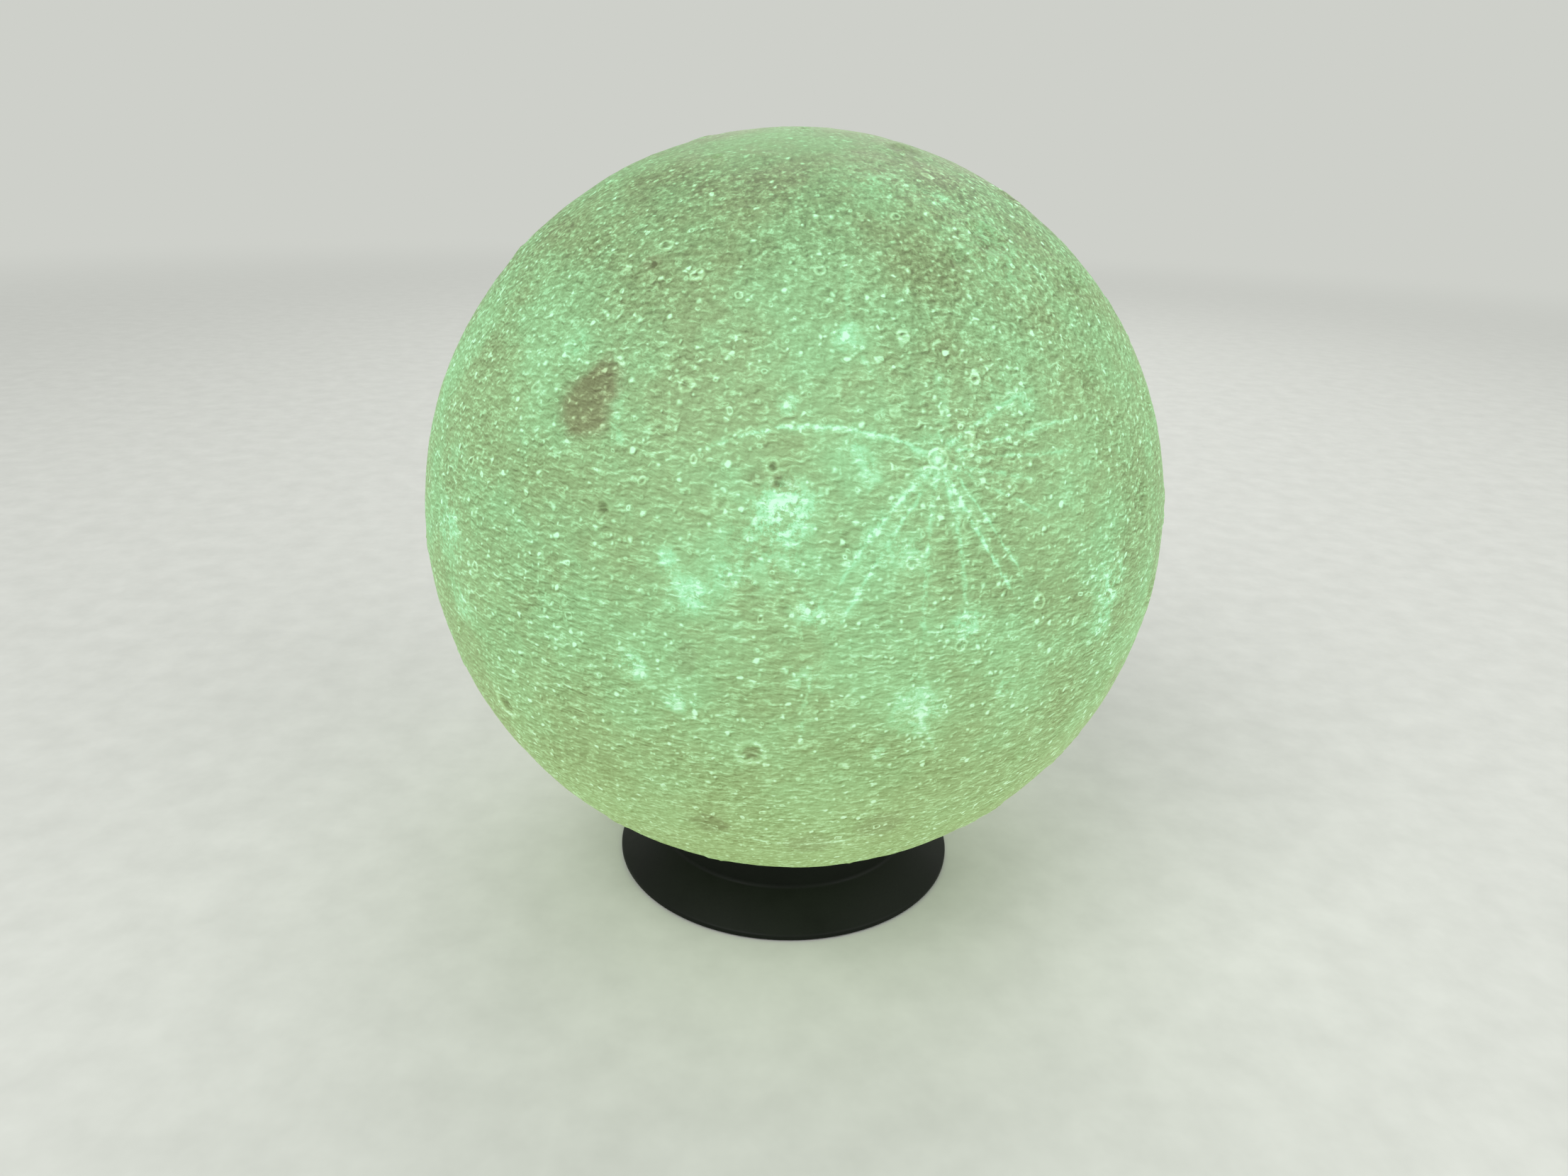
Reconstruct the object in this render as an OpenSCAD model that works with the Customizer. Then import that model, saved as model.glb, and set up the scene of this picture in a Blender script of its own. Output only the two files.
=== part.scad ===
// Moon lamp: a hollow cratered globe that stands in a small flared stand and
// carries its cell, board and light inside.  Millimetres, +Z up.  The origin is
// on the table under the middle of the stand, and -Y is the front.

/* [Globe] */
// Diameter of the globe
globe_d = 150; // [130:1:200]
// Thickness of the globe's wall
globe_wall = 2; // [1.4:0.1:3]
// Height of the globe's lowest point, taken as a full ball, above the table
globe_rise = 8.4; // [7.6:0.1:12]
// Radius of the flat cut at the bottom of the globe
cut_r = 22; // [21.5:0.5:25]
// Radius of the bore in the globe's neck
neck_bore_r = 18; // [17.8:0.1:19]
// Length of the neck inside the globe
neck_h = 8; // [5:0.5:11]

/* [Craters] */
// Number of places in the spiral that spreads the plain craters
crater_places = 150; // [60:1:180]
// Radius of the smallest plain crater
crater_r_min = 1.3; // [1.1:0.1:2]
// Radius of the largest plain crater
crater_r_max = 4.4; // [3.4:0.1:5.4]
// How far a crater's floor dips under a flat lid over its rim
crater_dip = 0.3; // [0.2:0.02:0.5]
// Height of a crater's rim over the globe
rim_h = 0.25; // [0.15:0.05:0.4]
// Radius of the rounded rim's section
rim_round = 0.8; // [0.6:0.1:1]
// Height of the peak in the middle of a large crater
peak_h = 0.45; // [0.3:0.05:0.6]

/* [Stand] */
// Gap between the globe's flat cut and the hole in the stand, across the radius
hole_gap = 1.2; // [0.8:0.1:2]
// Thickness of the lip round the hole
lip_w = 1.5; // [1.2:0.1:2.5]
// Width of the groove that holds the slip ring
groove_w = 3.1; // [2.6:0.1:5]
// Thickness of the collar outside the groove
collar_wall = 1.5; // [1.2:0.1:2.5]
// Width of the sloping skirt from the collar to the foot's edge
skirt_w = 9.1; // [7:0.1:14]
// Thickness of the skirt
skirt_wall = 2; // [1.4:0.1:2.6]
// Height of the crease where the collar meets the skirt
crease_z = 7.1; // [6:0.1:8]
// Height of the foot's upright edge
foot_edge_h = 1; // [0.6:0.1:1.6]
// Gap under the foot's edge, by which the pads stand proud
foot_gap = 0.3; // [0.2:0.1:0.6]
// Thickness of the floor under the groove
seat_t = 1.6; // [1.2:0.1:2]
// Height of the inner wall's lower edge over the table
inner_wall_z = 1.3; // [0.8:0.1:2.5]
// Number of ribs under the stand
rib_n = 8; // [4:1:12]
// Thickness of a rib
rib_t = 1.2; // [0.8:0.1:2]
// Height of the ribs' lower edges over the table
rib_z = 2; // [1.3:0.1:3]

/* [Pads] */
// Number of pads
pad_n = 4; // [3:1:6]
// Radius of a pad
pad_r = 3; // [2.4:0.1:3.4]
// Thickness of a pad
pad_t = 1.3; // [1:0.1:1.6]
// Distance from the foot's edge in to a pad's middle
pad_inset = 5.6; // [5.2:0.1:6.4]
// Gap round a pad in its recess
pad_gap = 0.1; // [0.05:0.05:0.3]
// Thickness of the wall round a pad's recess
pad_boss_wall = 0.8; // [0.6:0.1:1.2]

/* [Slip ring] */
// Thickness of the slip ring at the middle of its width
ring_t = 2.4; // [1.8:0.1:2.8]
// Running gap between the ring's bore and the lip
ring_bore_gap = 0.1; // [0.05:0.01:0.1]
// Gap between the ring's outside and the groove
ring_side_gap = 0.3; // [0.2:0.05:0.5]
// Gap between the ring's underside and the groove's floor
ring_floor_gap = 0.1; // [0.05:0.05:0.2]
// Gap between the globe and the ring
ring_globe_gap = 0.3; // [0.2:0.05:0.4]
// Gap between the globe and the stand
stand_globe_gap = 0.8; // [0.6:0.05:1.2]

/* [Cap] */
// Thickness of the cap's flange under the globe's flat cut
flange_t = 2.3; // [2:0.1:3]
// Distance from the flange's edge in from the edge of the globe's flat cut
flange_inset = 0.4; // [0.2:0.1:1]
// Width of the bevel round the flange
bevel_w = 4.1; // [3:0.1:4.4]
// Height of the bevel round the flange
bevel_h = 1.6; // [1:0.1:1.8]
// Thickness of the cap's floor
floor_t = 2; // [1.6:0.1:2.6]
// Thickness of the cap's barrel
barrel_wall = 1.8; // [1.4:0.1:2]
// Gap between the barrel and the neck's bore
barrel_gap = 0.2; // [0.1:0.05:0.3]
// Radius of the posts and bosses inside the cap
post_r = 2.2; // [1.9:0.1:2.3]
// Distance of the short posts from the axis
short_post_at = 12.5; // [12:0.1:12.7]
// Distance of the tall bosses from the axis
tall_boss_at = 13.5; // [13:0.1:13.7]

/* [Touch ring] */
// Inner radius of the touch ring
touch_r_in = 12.5; // [12:0.1:13]
// Outer radius of the touch ring
touch_r_out = 16; // [15:0.1:16.5]
// Thickness of the touch ring
touch_t = 1.2; // [1:0.1:1.5]
// Height by which the touch ring stands proud of the cap
touch_proud = 0.2; // [0.1:0.1:0.4]
// Distance of the contact pin from the ring's inner edge
contact_inset = 1.7; // [1.2:0.1:2.2]
// Radius of the contact pin
contact_r = 0.5; // [0.4:0.05:0.6]
// Radius of the contact's barrel
contact_barrel_r = 0.9; // [0.8:0.05:1.1]

/* [Charging socket] */
// Width of the socket's shell
socket_w = 8.94; // [8.9:0.01:9]
// Thickness of the socket's shell, front to back
socket_d = 3.26; // [3.2:0.01:3.3]
// Length of the socket's shell
socket_len = 9.5; // [8.5:0.1:11]
// Thickness of the shell's sheet
socket_sheet = 0.3; // [0.25:0.01:0.35]
// Depth of the socket's mouth inside the cap's underside
socket_recess = 0.6; // [0.3:0.1:1]
// Gap round the shell in the cap's floor
socket_gap = 0.2; // [0.1:0.05:0.3]
// Width of the contact tongue
tongue_w = 6.7; // [6.5:0.05:6.8]
// Thickness of the contact tongue
tongue_t = 0.7; // [0.6:0.05:0.8]
// Length of the contact tongue
tongue_len = 6; // [5:0.1:7]

/* [Boards] */
// Radius of the control board
board_r = 15.6; // [15.2:0.1:15.7]
// Thickness of the boards
board_t = 1.6; // [1:0.1:2]
// Room over the control board for its parts
chip_room = 2.9; // [2.6:0.1:5]
// Distance of the receiver from the axis
receiver_at = 7.2; // [6.6:0.1:7.6]
// Radius of the receiver's round front
receiver_r = 2.2; // [1.8:0.1:2.3]
// Length of the receiver's body over the cap's floor
receiver_len = 4.2; // [3:0.1:5]
// Distance of the light rod from the axis
rod_at = 7.4; // [6.8:0.1:7.8]
// Radius of the light rod
rod_r = 1.3; // [1:0.1:1.5]
// Radius of the light rod's collar
rod_collar_r = 2; // [1.8:0.1:2.3]
// Thickness of the light rod's collar
rod_collar_t = 1; // [0.6:0.1:1.4]
// Gap between the light rod's end and the board
rod_board_gap = 0.3; // [0.1:0.1:0.8]

/* [Screws] */
// Radius of a screw's shank
screw_r = 1; // [0.8:0.05:1.1]
// Gap round a screw's shank in its hole
screw_gap = 0.05; // [0.02:0.01:0.1]
// Radius of a screw's head
head_r = 1.9; // [1.7:0.1:2]
// Height of a screw's head
head_h = 1.3; // [1:0.1:1.4]
// Radius of the round recess in a screw's head
drive_r = 0.9; // [0.7:0.05:1]
// Depth of the recess in a screw's head
drive_depth = 0.7; // [0.4:0.1:0.8]
// Length of the control board's screws
board_screw_len = 6; // [5:0.5:8]
// Length of the pillar's and the light board's screws
pillar_screw_len = 8; // [6:0.5:9]

/* [Pillar and cell] */
// Radius of the cell
cell_r = 8.25; // [7.8:0.05:8.4]
// Length of the cell
cell_len = 34.2; // [30:0.1:40]
// Height of the raised button on the cell
button_h = 0.8; // [0.5:0.1:1.2]
// Radius of the raised button on the cell
button_r = 3.1; // [2.5:0.1:4]
// Gap between the cell and the pillar
cell_gap = 0.3; // [0.2:0.05:0.4]
// Thickness of the pillar's tube
tube_wall = 1.6; // [1.2:0.1:1.8]
// Thickness of the pillar's flange
pillar_flange_t = 2; // [1.6:0.1:3]
// Distance of the pillar's screw columns from the axis
column_at = 11.9; // [11.5:0.1:12]
// Width of the cell's metal strips
tab_w = 5; // [4:0.1:5.5]
// Thickness of the cell's metal strips
tab_t = 0.3; // [0.2:0.05:0.4]
// Reach of the cell's metal strips from the axis
tab_reach = 13; // [12.8:0.1:14]
// Thickness of the foam pad over the cell
foam_t = 1.2; // [1:0.1:2]
// Radius of the foam pad
foam_r = 7; // [6:0.1:7.8]
// Radius of a wire
wire_r = 0.6; // [0.4:0.05:0.65]
// Gap round a wire in its hole
wire_gap = 0.3; // [0.1:0.05:0.4]
// Distance of the wires from the axis
wire_at = 12; // [11.8:0.1:12.2]

/* [Light] */
// Radius of the light board
led_board_r = 14.8; // [14.4:0.1:15]
// Gap round the light board in its tray
led_board_gap = 0.3; // [0.2:0.1:0.4]
// Thickness of the tray's floor and rim
tray_wall = 1.6; // [1.2:0.1:2]
// Height of the tray's rim over its floor
tray_rim_h = 2.2; // [1.6:0.1:3]
// Number of light emitters
led_n = 6; // [4:1:6]
// Width of a light emitter
led_w = 5; // [4:0.1:5]
// Height of a light emitter
led_h = 1.6; // [1.2:0.1:2]
// Radius of the round well in a light emitter
led_well_r = 2; // [1.4:0.1:2]
// Distance of the light emitters from the axis
led_at = 8.6; // [8.4:0.1:9]

/* [Hidden] */
$fn = 64;

// A hair of extra length on a cutting tool, so that it leaves no skin
eps = 0.1;
// Far enough to cut through anything
big = 400;

globe_r = globe_d / 2;
globe_z = globe_rise + globe_r;
inner_r = globe_r - globe_wall;

// Height at which the lower half of a ball round the globe's middle, of radius
// ball, lies at distance r from the axis
function ball_z(ball, r) = globe_z - sqrt(ball * ball - r * r);

// The globe's neck
cut_z = ball_z(globe_r, cut_r);
neck_r = cut_r - flange_inset - eps;
neck_top_z = cut_z + neck_h;

// The stand, from its hole outwards
hole_r = cut_r + hole_gap;
groove_r_in = hole_r + lip_w;
groove_r_out = groove_r_in + groove_w;
collar_r = groove_r_out + collar_wall;
foot_r = collar_r + skirt_w;
foot_top_z = foot_gap + foot_edge_h;
skirt_slope = (crease_z - foot_top_z) / skirt_w;
skirt_drop = skirt_wall * sqrt(1 + skirt_slope * skirt_slope);
skirt_foot_r = foot_r - (foot_gap + skirt_drop - foot_top_z) / skirt_slope;
ring_mid_r = (groove_r_in + groove_r_out) / 2;
ring_z = ball_z(globe_r + ring_globe_gap, ring_mid_r) - ring_t;
groove_z = ring_z - ring_floor_gap;
seat_z = groove_z - seat_t;
stand_top_z = ball_z(globe_r, collar_r) + 1;
pad_at = foot_r - pad_inset;
pad_recess_r = pad_r + pad_gap;
pad_boss_r = pad_recess_r + pad_boss_wall;

// The cap, from its underside up
cap_z = cut_z - flange_t;
flange_r = cut_r - flange_inset;
floor_z = cap_z + floor_t;
barrel_r = neck_bore_r - barrel_gap;
barrel_in_r = barrel_r - barrel_wall;
touch_z = cap_z - touch_proud;
touch_top_z = touch_z + touch_t;
socket_z = cap_z + socket_recess;
board_z = socket_z + socket_len;
board_top_z = board_z + board_t;
barrel_top_z = board_top_z + chip_room;
contact_at = touch_r_in + contact_inset;
contact_mid_z = (touch_top_z + board_z) / 2;
short_post_angles = [30, 150, 270];
tall_boss_angles = [90, 210, 330];

// Chips on the control board, each with its middle and its size
chips = [
  [[-4.5, 3], [6, 5, 1.4]],
  [[5, 3.5], [5, 5, 2.2]],
  [[-2.5, -4], [4, 4, 1.2]],
  [[4.5, -3.5], [3, 1.6, 0.9]],
  [[8, -0.5], [3, 1.6, 0.9]],
  [[-9, -2], [1.6, 3, 0.9]]
];
// The upright can on the control board
can_at = 9.5;
can_angle = 60;
can_r = 1.5;
can_h = 2.4;
// The receiver's three pins
pin_pitch = 1.27;
pin_w = 0.5;

// The pillar, from its flange up
tube_r_in = cell_r + cell_gap;
tube_r = tube_r_in + tube_wall;
flange_top_z = barrel_top_z + pillar_flange_t;
cell_z = flange_top_z + tab_t;
cell_top_z = cell_z + cell_len;
pillar_top_z = cell_top_z + tab_t + foam_t;
column_angles = [0, 180];
low_tab_angle = 250;
high_tab_angle = 290;
led_wire_angles = [111, 120, 129];

// The light
tray_r_in = led_board_r + led_board_gap;
tray_r = tray_r_in + tray_wall;
tray_floor_z = pillar_top_z + tray_wall;
led_board_top_z = tray_floor_z + board_t;

// Golden angle, which spreads the plain craters evenly
golden = 137.508;
// Plain craters keep this angle clear of the globe's widest points and this
// distance clear of each chosen crater
axis_clear = 3;
crater_clear = 1.2;
// Lowest latitude of a plain crater's middle
crater_lat_min = -56;
// Craters of this radius or more have a peak in the middle
peak_from_r = 3.4;
// Chosen craters as the globe's front shows them, each as longitude from the
// front towards +X, latitude, and radius
chosen_craters = [
  [17.8, 22.6, 2], [16, -8.5, 1.7], [-3.1, 21.8, 1.3], [-24, 15, 1.5], [-4.9, -14.7, 2.4],
  [13.9, 10.8, 1.5], [-46, -18.2, 3.2], [6.5, 37.5, 1.6], [-11.9, 6.1, 1.3], [-27, 46, 1.5],
  [21.5, 14.8, 1.6], [-9, 17.5, 1.6], [-1, 5.6, 2], [46.2, 3, 2.6], [-12, -31, 3.6],
  [34, -20, 3.4], [-34.7, 34, 2.2], [30, 48, 3], [28, -7, 1.6], [-19.7, -3.8, 1.8]
];

// Direction from the globe's middle at longitude lon and latitude lat
function toward(lon, lat) = [cos(lat) * sin(lon), -cos(lat) * cos(lon), sin(lat)];
// Part of x after the decimal point
function frac(x) = x - floor(x);
// Longitude, latitude and radius of plain crater i
function plain_crater(i) = [
  frac(i * golden / 360) * 360,
  asin(1 - 2 * (i + 0.5) / crater_places),
  crater_r_min + (crater_r_max - crater_r_min) * pow(frac(i * 0.618 + 0.1), 2)
];
// Whether crater c is clear of the globe's widest points and of its neck
function clear_of_axes(c) =
  let (d = toward(c[0], c[1]), keep = axis_clear + asin(c[2] / globe_r))
  c[1] > crater_lat_min && max(abs(d[0]), abs(d[1]), d[2]) < cos(keep);
// Whether crater c keeps its distance from each crater in list
function clear_of(c, list) = len([
  for (o = list)
    let (gap = globe_r * acos(min(1, toward(c[0], c[1]) * toward(o[0], o[1]))) * PI / 180)
    if (gap < c[2] + o[2] + crater_clear) o
]) == 0;
// Plain craters from place i on that are clear of list and of each other
function spread_craters(i, list) = i >= crater_places ? list :
  let (c = plain_crater(i))
  spread_craters(i + 1, clear_of_axes(c) && clear_of(c, list) ? concat(list, [c]) : list);
craters = spread_craters(0, chosen_craters);

// Turns its children so that their +Z points from the globe's middle at the crater c
module at_crater(c) {
  translate([0, 0, globe_z])
    rotate([0, 90 - c[1], c[0] - 90])
      children();
}

// The ball that scoops out a crater of radius r
module scoop(r) {
  ball_r = (r * r + crater_dip * crater_dip) / (2 * crater_dip);
  lid = sqrt(globe_r * globe_r - r * r);
  translate([0, 0, lid - crater_dip + ball_r]) sphere(r = ball_r);
}

// The rounded rim of a crater of radius r
module rim(r) {
  lift = globe_r + rim_h - rim_round;
  rotate_extrude()
    translate([r, sqrt(lift * lift - r * r)])
      circle(r = rim_round, $fn = 24);
}

// The low peak in the middle of a large crater of radius r
module peak(r) {
  floor_at = sqrt(globe_r * globe_r - r * r) - crater_dip;
  translate([0, 0, floor_at + peak_h - rim_round]) sphere(r = rim_round);
}

// A ring between two radii, from z up by h
module tube(r_out, r_in, z, h) {
  translate([0, 0, z])
    difference() {
      cylinder(r = r_out, h = h);
      translate([0, 0, -eps]) cylinder(r = r_in, h = h + 2 * eps);
    }
}

// A disc from z up by h
module disc(r, z, h) {
  translate([0, 0, z]) cylinder(r = r, h = h);
}

// Children at distance at from the axis, once for each angle
module around(at, angles) {
  for (a = angles)
    rotate([0, 0, a])
      translate([at, 0, 0])
        children();
}

// A screw with its head on seat z and its shank down by len
module screw(z, len) {
  difference() {
    union() {
      disc(head_r, z, head_h);
      disc(screw_r, z - len, len + eps);
    }
    disc(drive_r, z + head_h - drive_depth, drive_depth + eps, $fn = 6);
  }
}

// The hole for a screw whose head sits on z
module screw_hole(z, len) {
  disc(screw_r + screw_gap, z - len - 0.5, len + 0.5 + eps);
}

// Section of the stand: skirt, collar, lip and inner wall round an open channel
module stand_section() {
  inner_crease_r = collar_r - skirt_wall;
  inner_crease_z = crease_z + skirt_slope * skirt_wall - skirt_drop;
  polygon([
    [foot_r, foot_gap],
    [foot_r, foot_top_z],
    [collar_r, crease_z],
    [collar_r, stand_top_z],
    [hole_r, stand_top_z],
    [hole_r, inner_wall_z],
    [groove_r_in, inner_wall_z],
    [groove_r_in, seat_z],
    [inner_crease_r, seat_z],
    [inner_crease_r, inner_crease_z],
    [skirt_foot_r, foot_gap]
  ]);
}

// Section of the space under the stand's skin, which trims the ribs and bosses
module stand_envelope() {
  polygon([
    [hole_r + lip_w / 2, foot_gap],
    [foot_r - foot_edge_h, foot_gap],
    [foot_r - foot_edge_h, foot_top_z + skirt_slope * foot_edge_h - skirt_drop / 2],
    [collar_r - skirt_wall / 2, crease_z - skirt_drop / 2],
    [collar_r - skirt_wall / 2, seat_z + seat_t / 2],
    [hole_r + lip_w / 2, seat_z + seat_t / 2]
  ]);
}

module stand_shell() {
  color([0.07, 0.1, 0.06])
  difference() {
    union() {
      rotate_extrude($fn = 96) stand_section();
      intersection() {
        union() {
          around(0, [for (i = [0 : rib_n - 1]) (i + 0.5) * 360 / rib_n])
            translate([hole_r, -rib_t / 2, rib_z])
              cube([foot_r - hole_r, rib_t, stand_top_z]);
          around(pad_at, [for (i = [0 : pad_n - 1]) i * 360 / pad_n])
            disc(pad_boss_r, foot_gap, stand_top_z);
        }
        rotate_extrude($fn = 96) stand_envelope();
      }
    }
    tube(groove_r_out, groove_r_in, groove_z, stand_top_z);
    translate([0, 0, globe_z]) sphere(r = globe_r + stand_globe_gap, $fn = 256);
    around(pad_at, [for (i = [0 : pad_n - 1]) i * 360 / pad_n])
      disc(pad_recess_r, -eps, pad_t + eps);
  }
}

module foot_pads() {
  color([0.2, 0.2, 0.2])
  around(pad_at, [for (i = [0 : pad_n - 1]) i * 360 / pad_n])
    disc(pad_r, 0, pad_t);
}

module glide_ring() {
  color([0.16, 0.17, 0.16])
  difference() {
    tube(groove_r_out - ring_side_gap, groove_r_in + ring_bore_gap, ring_z, 2 * ring_t, $fn = 192);
    translate([0, 0, globe_z]) sphere(r = globe_r + ring_globe_gap, $fn = 256);
  }
}

module globe_shell() {
  color([0.72, 0.86, 0.66])
  difference() {
    union() {
      difference() {
        union() {
          difference() {
            translate([0, 0, globe_z]) sphere(r = globe_r, $fn = 128);
            for (c = craters) at_crater(c) scoop(c[2]);
          }
          for (c = craters) at_crater(c) rim(c[2]);
          for (c = craters) if (c[2] >= peak_from_r) at_crater(c) peak(c[2]);
        }
        translate([0, 0, globe_z]) sphere(r = inner_r, $fn = 128);
      }
      disc(neck_r, cut_z, neck_h);
    }
    disc(neck_bore_r, cut_z - eps, neck_h + 2 * eps);
    translate([-big / 2, -big / 2, cut_z - big]) cube(big);
  }
}

module cap_housing() {
  color([0.86, 0.86, 0.82])
  difference() {
    union() {
      rotate_extrude()
        polygon([
          [0, cap_z],
          [flange_r - bevel_w, cap_z],
          [flange_r, cap_z + bevel_h],
          [flange_r, cut_z],
          [barrel_r, cut_z],
          [barrel_r, barrel_top_z],
          [barrel_in_r, barrel_top_z],
          [barrel_in_r, floor_z],
          [0, floor_z]
        ]);
      around(short_post_at, short_post_angles) disc(post_r, floor_z - eps, board_z - floor_z + eps);
      around(tall_boss_at, tall_boss_angles) disc(post_r, floor_z - eps, barrel_top_z - floor_z + eps);
    }
    tube(touch_r_out + pad_gap, touch_r_in - pad_gap, cap_z - eps, touch_top_z - cap_z + eps);
    translate([0, 0, cap_z - eps])
      socket_block(socket_w + 2 * socket_gap, socket_d + 2 * socket_gap, floor_t + 2 * eps);
    around(contact_at, [0]) disc(contact_r + screw_gap + eps, cap_z, floor_t + eps);
    around(receiver_at, [90]) disc(receiver_r + pad_gap, cap_z - eps, floor_t + 2 * eps);
    around(rod_at, [270]) disc(rod_r + pad_gap, cap_z - eps, floor_t + 2 * eps);
    around(short_post_at, short_post_angles) screw_hole(board_top_z, board_screw_len);
    around(tall_boss_at, tall_boss_angles) screw_hole(flange_top_z, pillar_screw_len);
  }
}

module touch_ring() {
  color([0.7, 0.7, 0.68])
  tube(touch_r_out, touch_r_in, touch_z, touch_t);
}

module touch_contact() {
  color([0.85, 0.7, 0.35])
  around(contact_at, [0]) {
    disc(contact_r, touch_top_z, contact_mid_z - touch_top_z + eps);
    disc(contact_barrel_r, contact_mid_z, board_z - contact_mid_z);
  }
}

// A block with round ends, w wide, d deep and h high
module socket_block(w, d, h) {
  linear_extrude(height = h)
    union() {
      square([w - d, d], center = true);
      translate([(w - d) / 2, 0]) circle(d = d, $fn = 32);
      translate([-(w - d) / 2, 0]) circle(d = d, $fn = 32);
    }
}

module charge_socket() {
  color([0.75, 0.76, 0.76])
  translate([0, 0, socket_z])
    difference() {
      socket_block(socket_w, socket_d, socket_len);
      translate([0, 0, -eps])
        socket_block(socket_w - 2 * socket_sheet, socket_d - 2 * socket_sheet,
                     socket_len - socket_sheet + eps);
    }
}

module socket_tongue() {
  color([0.1, 0.1, 0.1])
  translate([-tongue_w / 2, -tongue_t / 2, board_z - socket_sheet - tongue_len])
    cube([tongue_w, tongue_t, tongue_len]);
}

module control_board() {
  color([0.1, 0.32, 0.18])
  difference() {
    disc(board_r, board_z, board_t);
    around(tall_boss_at, tall_boss_angles)
      disc(post_r + socket_gap, board_z - eps, board_t + 2 * eps);
    around(short_post_at, short_post_angles) screw_hole(board_top_z, board_t + eps);
  }
}

module control_chips() {
  color([0.12, 0.12, 0.13]) {
    for (c = chips)
      translate([c[0][0] - c[1][0] / 2, c[0][1] - c[1][1] / 2, board_top_z]) cube(c[1]);
    around(can_at, [can_angle]) disc(can_r, board_top_z, can_h);
  }
}

module ir_receiver() {
  color([0.15, 0.08, 0.09])
  around(receiver_at, [90]) {
    disc(receiver_r, cap_z + receiver_r, floor_z + receiver_len - cap_z - receiver_r);
    intersection() {
      translate([0, 0, cap_z + receiver_r]) sphere(r = receiver_r);
      disc(receiver_r, cap_z, receiver_r + eps);
    }
    for (y = [-pin_pitch, 0, pin_pitch])
      translate([-pin_w / 2, y - pin_w / 2, floor_z + receiver_len - eps])
        cube([pin_w, pin_w, board_z - floor_z - receiver_len + eps]);
  }
}

module charge_light_pipe() {
  color([0.9, 0.93, 0.9, 0.5])
  around(rod_at, [270]) {
    disc(rod_r, cap_z, board_z - rod_board_gap - cap_z);
    disc(rod_collar_r, floor_z, rod_collar_t);
  }
}

module control_board_screws() {
  color([0.6, 0.6, 0.6])
  around(short_post_at, short_post_angles) screw(board_top_z, board_screw_len);
}

// The slot in the pillar's tube for a metal strip at angle a, from z up by h
module tab_slot(a, z, h) {
  rotate([0, 0, a])
    translate([0, -tab_w / 2 - pad_gap, z])
      cube([tube_r + eps, tab_w + 2 * pad_gap, h]);
}

module pillar() {
  color([0.88, 0.88, 0.84])
  difference() {
    union() {
      disc(barrel_r, barrel_top_z, pillar_flange_t);
      disc(tube_r, barrel_top_z, pillar_top_z - barrel_top_z);
      around(column_at, column_angles) disc(post_r, barrel_top_z, pillar_top_z - barrel_top_z);
    }
    disc(tube_r_in, flange_top_z, pillar_top_z);
    tab_slot(low_tab_angle, flange_top_z, 2 * tab_t);
    tab_slot(high_tab_angle, cell_top_z - tab_t, pillar_top_z);
    around(tall_boss_at, tall_boss_angles) screw_hole(flange_top_z, pillar_flange_t + eps);
    around(column_at, column_angles) screw_hole(led_board_top_z, pillar_screw_len);
    around(wire_at, concat(led_wire_angles, [low_tab_angle, high_tab_angle]))
      disc(wire_r + wire_gap, barrel_top_z - eps, pillar_flange_t + 2 * eps);
  }
}

module pillar_screws() {
  color([0.6, 0.6, 0.6])
  around(tall_boss_at, tall_boss_angles) screw(flange_top_z, pillar_screw_len);
}

module battery_cell() {
  color([0.2, 0.42, 0.62])
  union() {
    disc(cell_r, cell_z, cell_len - button_h);
    disc(button_r, cell_z, cell_len);
  }
}

// A metal strip at height z that runs out from the axis at angle a
module tab(a, z) {
  difference() {
    rotate([0, 0, a])
      translate([0, -tab_w / 2, z])
        cube([tab_reach, tab_w, tab_t]);
    around(wire_at, [a]) disc(wire_r, z - eps, tab_t + 2 * eps);
  }
}

module battery_tabs() {
  color([0.78, 0.78, 0.76]) {
    tab(low_tab_angle, flange_top_z);
    tab(high_tab_angle, cell_top_z);
  }
}

module battery_pad() {
  color([0.25, 0.25, 0.27])
  disc(foam_r, cell_top_z + tab_t, foam_t);
}

module battery_leads() {
  color([0.75, 0.1, 0.1]) {
    around(wire_at, [low_tab_angle])
      disc(wire_r, board_top_z, flange_top_z + tab_t - board_top_z);
    around(wire_at, [high_tab_angle])
      disc(wire_r, board_top_z, cell_top_z + tab_t - board_top_z);
  }
}

module led_carrier() {
  color([0.9, 0.9, 0.88])
  difference() {
    union() {
      disc(tray_r, pillar_top_z, tray_wall);
      tube(tray_r, tray_r_in, pillar_top_z, tray_wall + tray_rim_h);
    }
    around(column_at, column_angles) screw_hole(led_board_top_z, board_t + tray_wall + eps);
    around(wire_at, led_wire_angles)
      disc(wire_r + wire_gap, pillar_top_z - eps, tray_wall + 2 * eps);
  }
}

module led_board() {
  color([0.92, 0.92, 0.9])
  difference() {
    disc(led_board_r, tray_floor_z, board_t);
    around(column_at, column_angles) screw_hole(led_board_top_z, board_t + eps);
  }
}

module led_board_screws() {
  color([0.6, 0.6, 0.6])
  around(column_at, column_angles) screw(led_board_top_z, pillar_screw_len);
}

module led_emitters() {
  color([0.95, 0.95, 0.8])
  around(led_at, [for (i = [0 : led_n - 1]) (i + 0.5) * 360 / led_n])
    difference() {
      translate([-led_w / 2, -led_w / 2, led_board_top_z]) cube([led_w, led_w, led_h]);
      disc(led_well_r, led_board_top_z + led_h / 2, led_h);
    }
}

module led_leads() {
  color([0.85, 0.85, 0.85])
  around(wire_at, led_wire_angles)
    disc(wire_r, board_top_z, tray_floor_z - board_top_z);
}

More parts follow.
